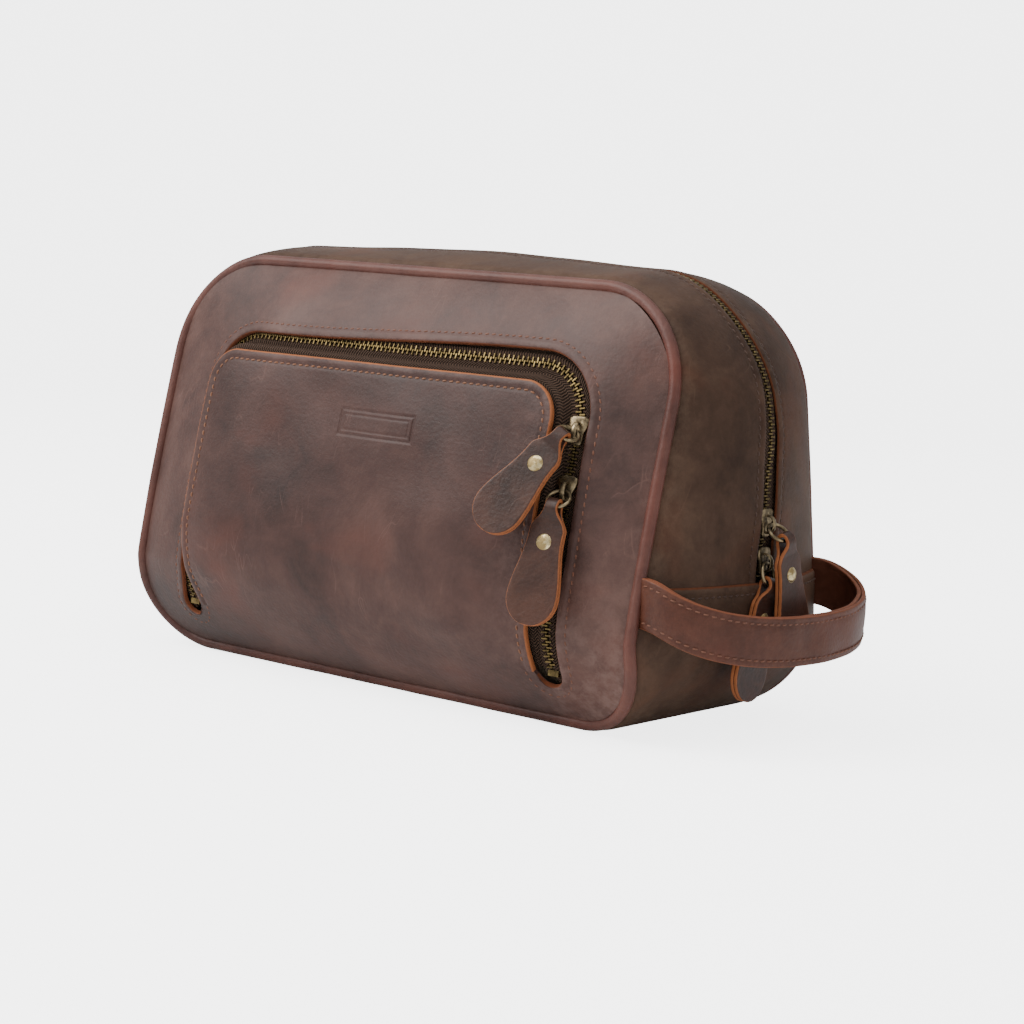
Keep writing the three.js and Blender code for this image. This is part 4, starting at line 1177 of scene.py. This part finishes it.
def ring_piece(name, place):
    cosines, sines = circle(56)
    path = place(np.column_stack([RING_RADIUS * sines, RING_RADIUS * cosines, 0 * sines]))
    return tube_piece(name, path, WIRE_RADIUS, slider_bronze, True, 12, place.axes[2])


def pull_half_width(down):
    """Half of a pull's width, by the distance below its fold: narrow neck, shoulders, broad round end."""
    neck = PULL_NECK + (PULL_WAIST - PULL_NECK) * smooth(0.5, 9.5, down)
    body = PULL_WAIST + (PULL_END - PULL_WAIST) * smooth(12, PULL_LENGTH - PULL_END, down)
    past = np.clip(down - (PULL_LENGTH - PULL_END), 0, PULL_END)
    tip = np.sqrt(np.maximum(PULL_END**2 - past**2, 0.01))
    return np.where(past > 0, tip, np.where(down < 9.5, neck, body))


def pull_piece(name, place):
    """One leather strip folded round the ring: front leaf, fold and back leaf."""
    start, straight = 0.8, PULL_LENGTH - PULL_END
    ends = straight + PULL_END * np.sin(np.linspace(0, 1, 22) * math.pi / 2)
    down = np.concatenate([np.linspace(start, straight, 46), ends[1:]])
    leaf, loop = PULL_GAP + PULL_LEAF / 2, 1.6 + PULL_LEAF / 2
    bulge = leaf + (loop - leaf) * smooth(6, start, down)
    arc = np.linspace(0, math.pi, 15)[1:-1]
    middle = np.concatenate([
        np.column_stack([-down[::-1], bulge[::-1]]),
        np.column_stack([loop * np.sin(arc) - start * (1 - np.sin(arc)), loop * np.cos(arc)]),
        np.column_stack([-down, -bulge]),
    ])
    half = pull_half_width(down)
    widths = np.concatenate([half[::-1], np.full(len(arc), PULL_NECK), half])[:, None]
    way = unit(np.gradient(middle, axis=0))
    out = np.column_stack([-way[:, 1], way[:, 0]])
    fraction = crowded(21)[None, :]
    tip = PULL_LENGTH - np.concatenate([down[::-1], np.zeros(len(arc)), down])
    gap = np.minimum(widths * (1 - np.abs(fraction)), np.maximum(tip, 0)[:, None])
    grids = []
    for side in (1, -1):
        flat = middle[:, None] + out[:, None] * (side * (PULL_LEAF / 2 - roll(gap, 0.45)))[..., None]
        grids.append(place(np.concatenate([(widths * fraction)[..., None], flat], -1)))
    raw = np.clip(1 - gap / 0.6, 0, 1)
    return sheet_piece(name, grids, pull_leather, raw=raw, wear=0.5 * np.exp(-gap / 2.2) + 0.2)


RIVET_PROFILE = (  # its radius, and the height over the pull's leather
    (0.02, 0.75),
    (1.2, 0.7),
    (2.2, 0.5),
    (2.85, 0.15),
    (3.1, -0.1),
    (3.0, -0.3),
    (1.7, -0.3),
)


def rivet_piece(name, place):
    """A rivet through both leaves, with the same cap on both sides."""
    face = PULL_GAP + PULL_LEAF + 0.1
    profile = [(radius, face + height) for radius, height in RIVET_PROFILE]
    profile += [(radius, -height) for radius, height in reversed(profile)]
    cosines, sines = circle(40)
    rings = []
    for radius, height in profile:
        ring = np.column_stack([radius * cosines, radius * sines - RIVET_DOWN, height + 0 * sines])
        rings.append(place(ring))
    faces = tube_faces(len(rings), len(cosines), flip=True)
    return make_piece(name, np.concatenate(rings), faces, rivet_brass, crease=60)


for name in ("main_lower", "main_upper", "pocket_lower", "pocket_upper"):
    slider_place, ring_place, pull_place = fitting_places(name)
    slider = slider_piece(f"{name}_slider_cast", slider_place)
    ring = ring_piece(f"{name}_ring_wire", ring_place)
    pull = pull_piece(f"{name}_pull_leather", pull_place)
    rivet = rivet_piece(f"{name}_rivet_cap", pull_place)
    dress(slider, "antique_brass", f"{name}_slider", body=f"{name}_slider")
    dress(ring, "antique_brass", f"{name}_ring", body=f"{name}_ring")
    dress(pull, "leather", f"{name}_pull", body=f"{name}_pull")
    dress(rivet, "pale_brass", f"{name}_rivet", body=f"{name}_pull")

SHOWN_NODES = {
    "main_stop_left": tooth_brass,
    "main_stop_right": tooth_brass,
    "pocket_stop_left": tooth_brass,
    "pocket_stop_right": tooth_brass,
    "base_board": board_fibre,
}
for node, material in SHOWN_NODES.items():
    frame["nodes"][node].data.materials.clear()
    frame["nodes"][node].data.materials.append(material)


# ---- Floor, light and camera, in metres and degrees ----
CAMERA_AZIMUTH = 38.2
CAMERA_ELEVATION = 6.6
CAMERA_ROLL = 3.5
CAMERA_DISTANCE = 1.007
CAMERA_TARGET = (0.0185, 0.0057, 0.0724)
CAMERA_LENS = 83.9  # in millimetres
LIGHT_TARGET = (0, 0, 0.08)

FLOOR_FRONT, FLOOR_BACK = -14.0, 1.6
SWEEP_RADIUS = 0.8
WALL_TOP = 3.2
HALF_BACKDROP = 12
FLOOR_DROP = 0.0004


def sweep_backdrop():
    """A pale floor that curves up into a wall behind the bag, as seen from the camera."""
    profile = [(FLOOR_FRONT, 0.0), (FLOOR_BACK, 0.0)]
    for k in range(1, 13):
        angle = math.radians(90 * k / 12)
        profile.append((FLOOR_BACK + SWEEP_RADIUS * math.sin(angle), SWEEP_RADIUS * (1 - math.cos(angle))))
    profile.append((FLOOR_BACK + SWEEP_RADIUS, WALL_TOP))
    heading = math.radians(CAMERA_AZIMUTH)
    ahead = Vector((-math.sin(heading), math.cos(heading), 0))
    across = Vector((ahead.y, -ahead.x, 0))
    points = []
    for forward, height in profile:
        for side in (-HALF_BACKDROP, HALF_BACKDROP):
            points.append(ahead * forward + across * side + Vector((0, 0, height - FLOOR_DROP)))
    mesh = bpy.data.meshes.new("backdrop")
    mesh.from_pydata(points, [], grid_quads(len(profile), 2))
    mesh.polygons.foreach_set("use_smooth", [True] * len(mesh.polygons))
    nodes = Nodes("backdrop_paper")
    colour = nodes.mix(nodes.noise(nodes.object_place(), 3, 2), (0.86, 0.86, 0.86), (0.9, 0.9, 0.9))
    seen = nodes.add("ShaderNodeLightPath").outputs["Is Camera Ray"]
    glow = {"emission_color": (1, 1, 1, 1), "emission_strength": nodes.times(seen, 3.6)}
    mesh.materials.append(nodes.finish(base_color=colour, roughness=0.9, **glow))
    return linked("backdrop", mesh)


def aimed(name, data, azimuth, elevation, distance, target):
    """A light or a camera that faces target from this distance."""
    a, e = math.radians(azimuth), math.radians(elevation)
    back = Vector((math.sin(a) * math.cos(e), -math.cos(a) * math.cos(e), math.sin(e)))
    thing = linked(name, data)
    thing.location = Vector(target) + back * distance
    thing.rotation_euler = (-back).to_track_quat("-Z", "Y").to_euler()
    return thing


def area_light(name, azimuth, elevation, distance, size, watts, colour=(1, 1, 1)):
    """A square soft box that faces the bag."""
    light = bpy.data.lights.new(name, "AREA")
    light.size, light.energy, light.color = size, watts, colour
    aimed(name, light, azimuth, elevation, distance, LIGHT_TARGET)


def add_camera():
    lens = bpy.data.cameras.new("camera")
    lens.lens, lens.clip_start = CAMERA_LENS, 0.01
    camera = aimed("camera", lens, CAMERA_AZIMUTH, CAMERA_ELEVATION, CAMERA_DISTANCE, CAMERA_TARGET)
    camera.rotation_euler.rotate_axis("Z", math.radians(CAMERA_ROLL))
    bpy.context.scene.camera = camera


def add_world():
    """A soft sky. The camera sees it brighter than it lights the bag."""
    world = bpy.data.worlds.new("studio")
    world.use_nodes = True
    tree = world.node_tree
    sky = tree.nodes["Background"]
    sky.inputs["Color"].default_value = (0.97, 0.98, 1.0, 1)
    strength = tree.nodes.new("ShaderNodeMath")
    strength.operation = "MULTIPLY_ADD"
    strength.inputs[1].default_value = 3.5
    strength.inputs[2].default_value = 0.75
    tree.links.new(tree.nodes.new("ShaderNodeLightPath").outputs["Is Camera Ray"], strength.inputs[0])
    tree.links.new(strength.outputs[0], sky.inputs["Strength"])
    bpy.context.scene.world = world


sweep_backdrop()
area_light("key", -38, 42, 1.5, 1.1, 26, (1.0, 0.98, 0.96))
area_light("fill", 75, 25, 1.8, 1.4, 4, (1.0, 0.97, 0.93))
area_light("top", 10, 84, 1.6, 1.5, 12)
add_world()
add_camera()
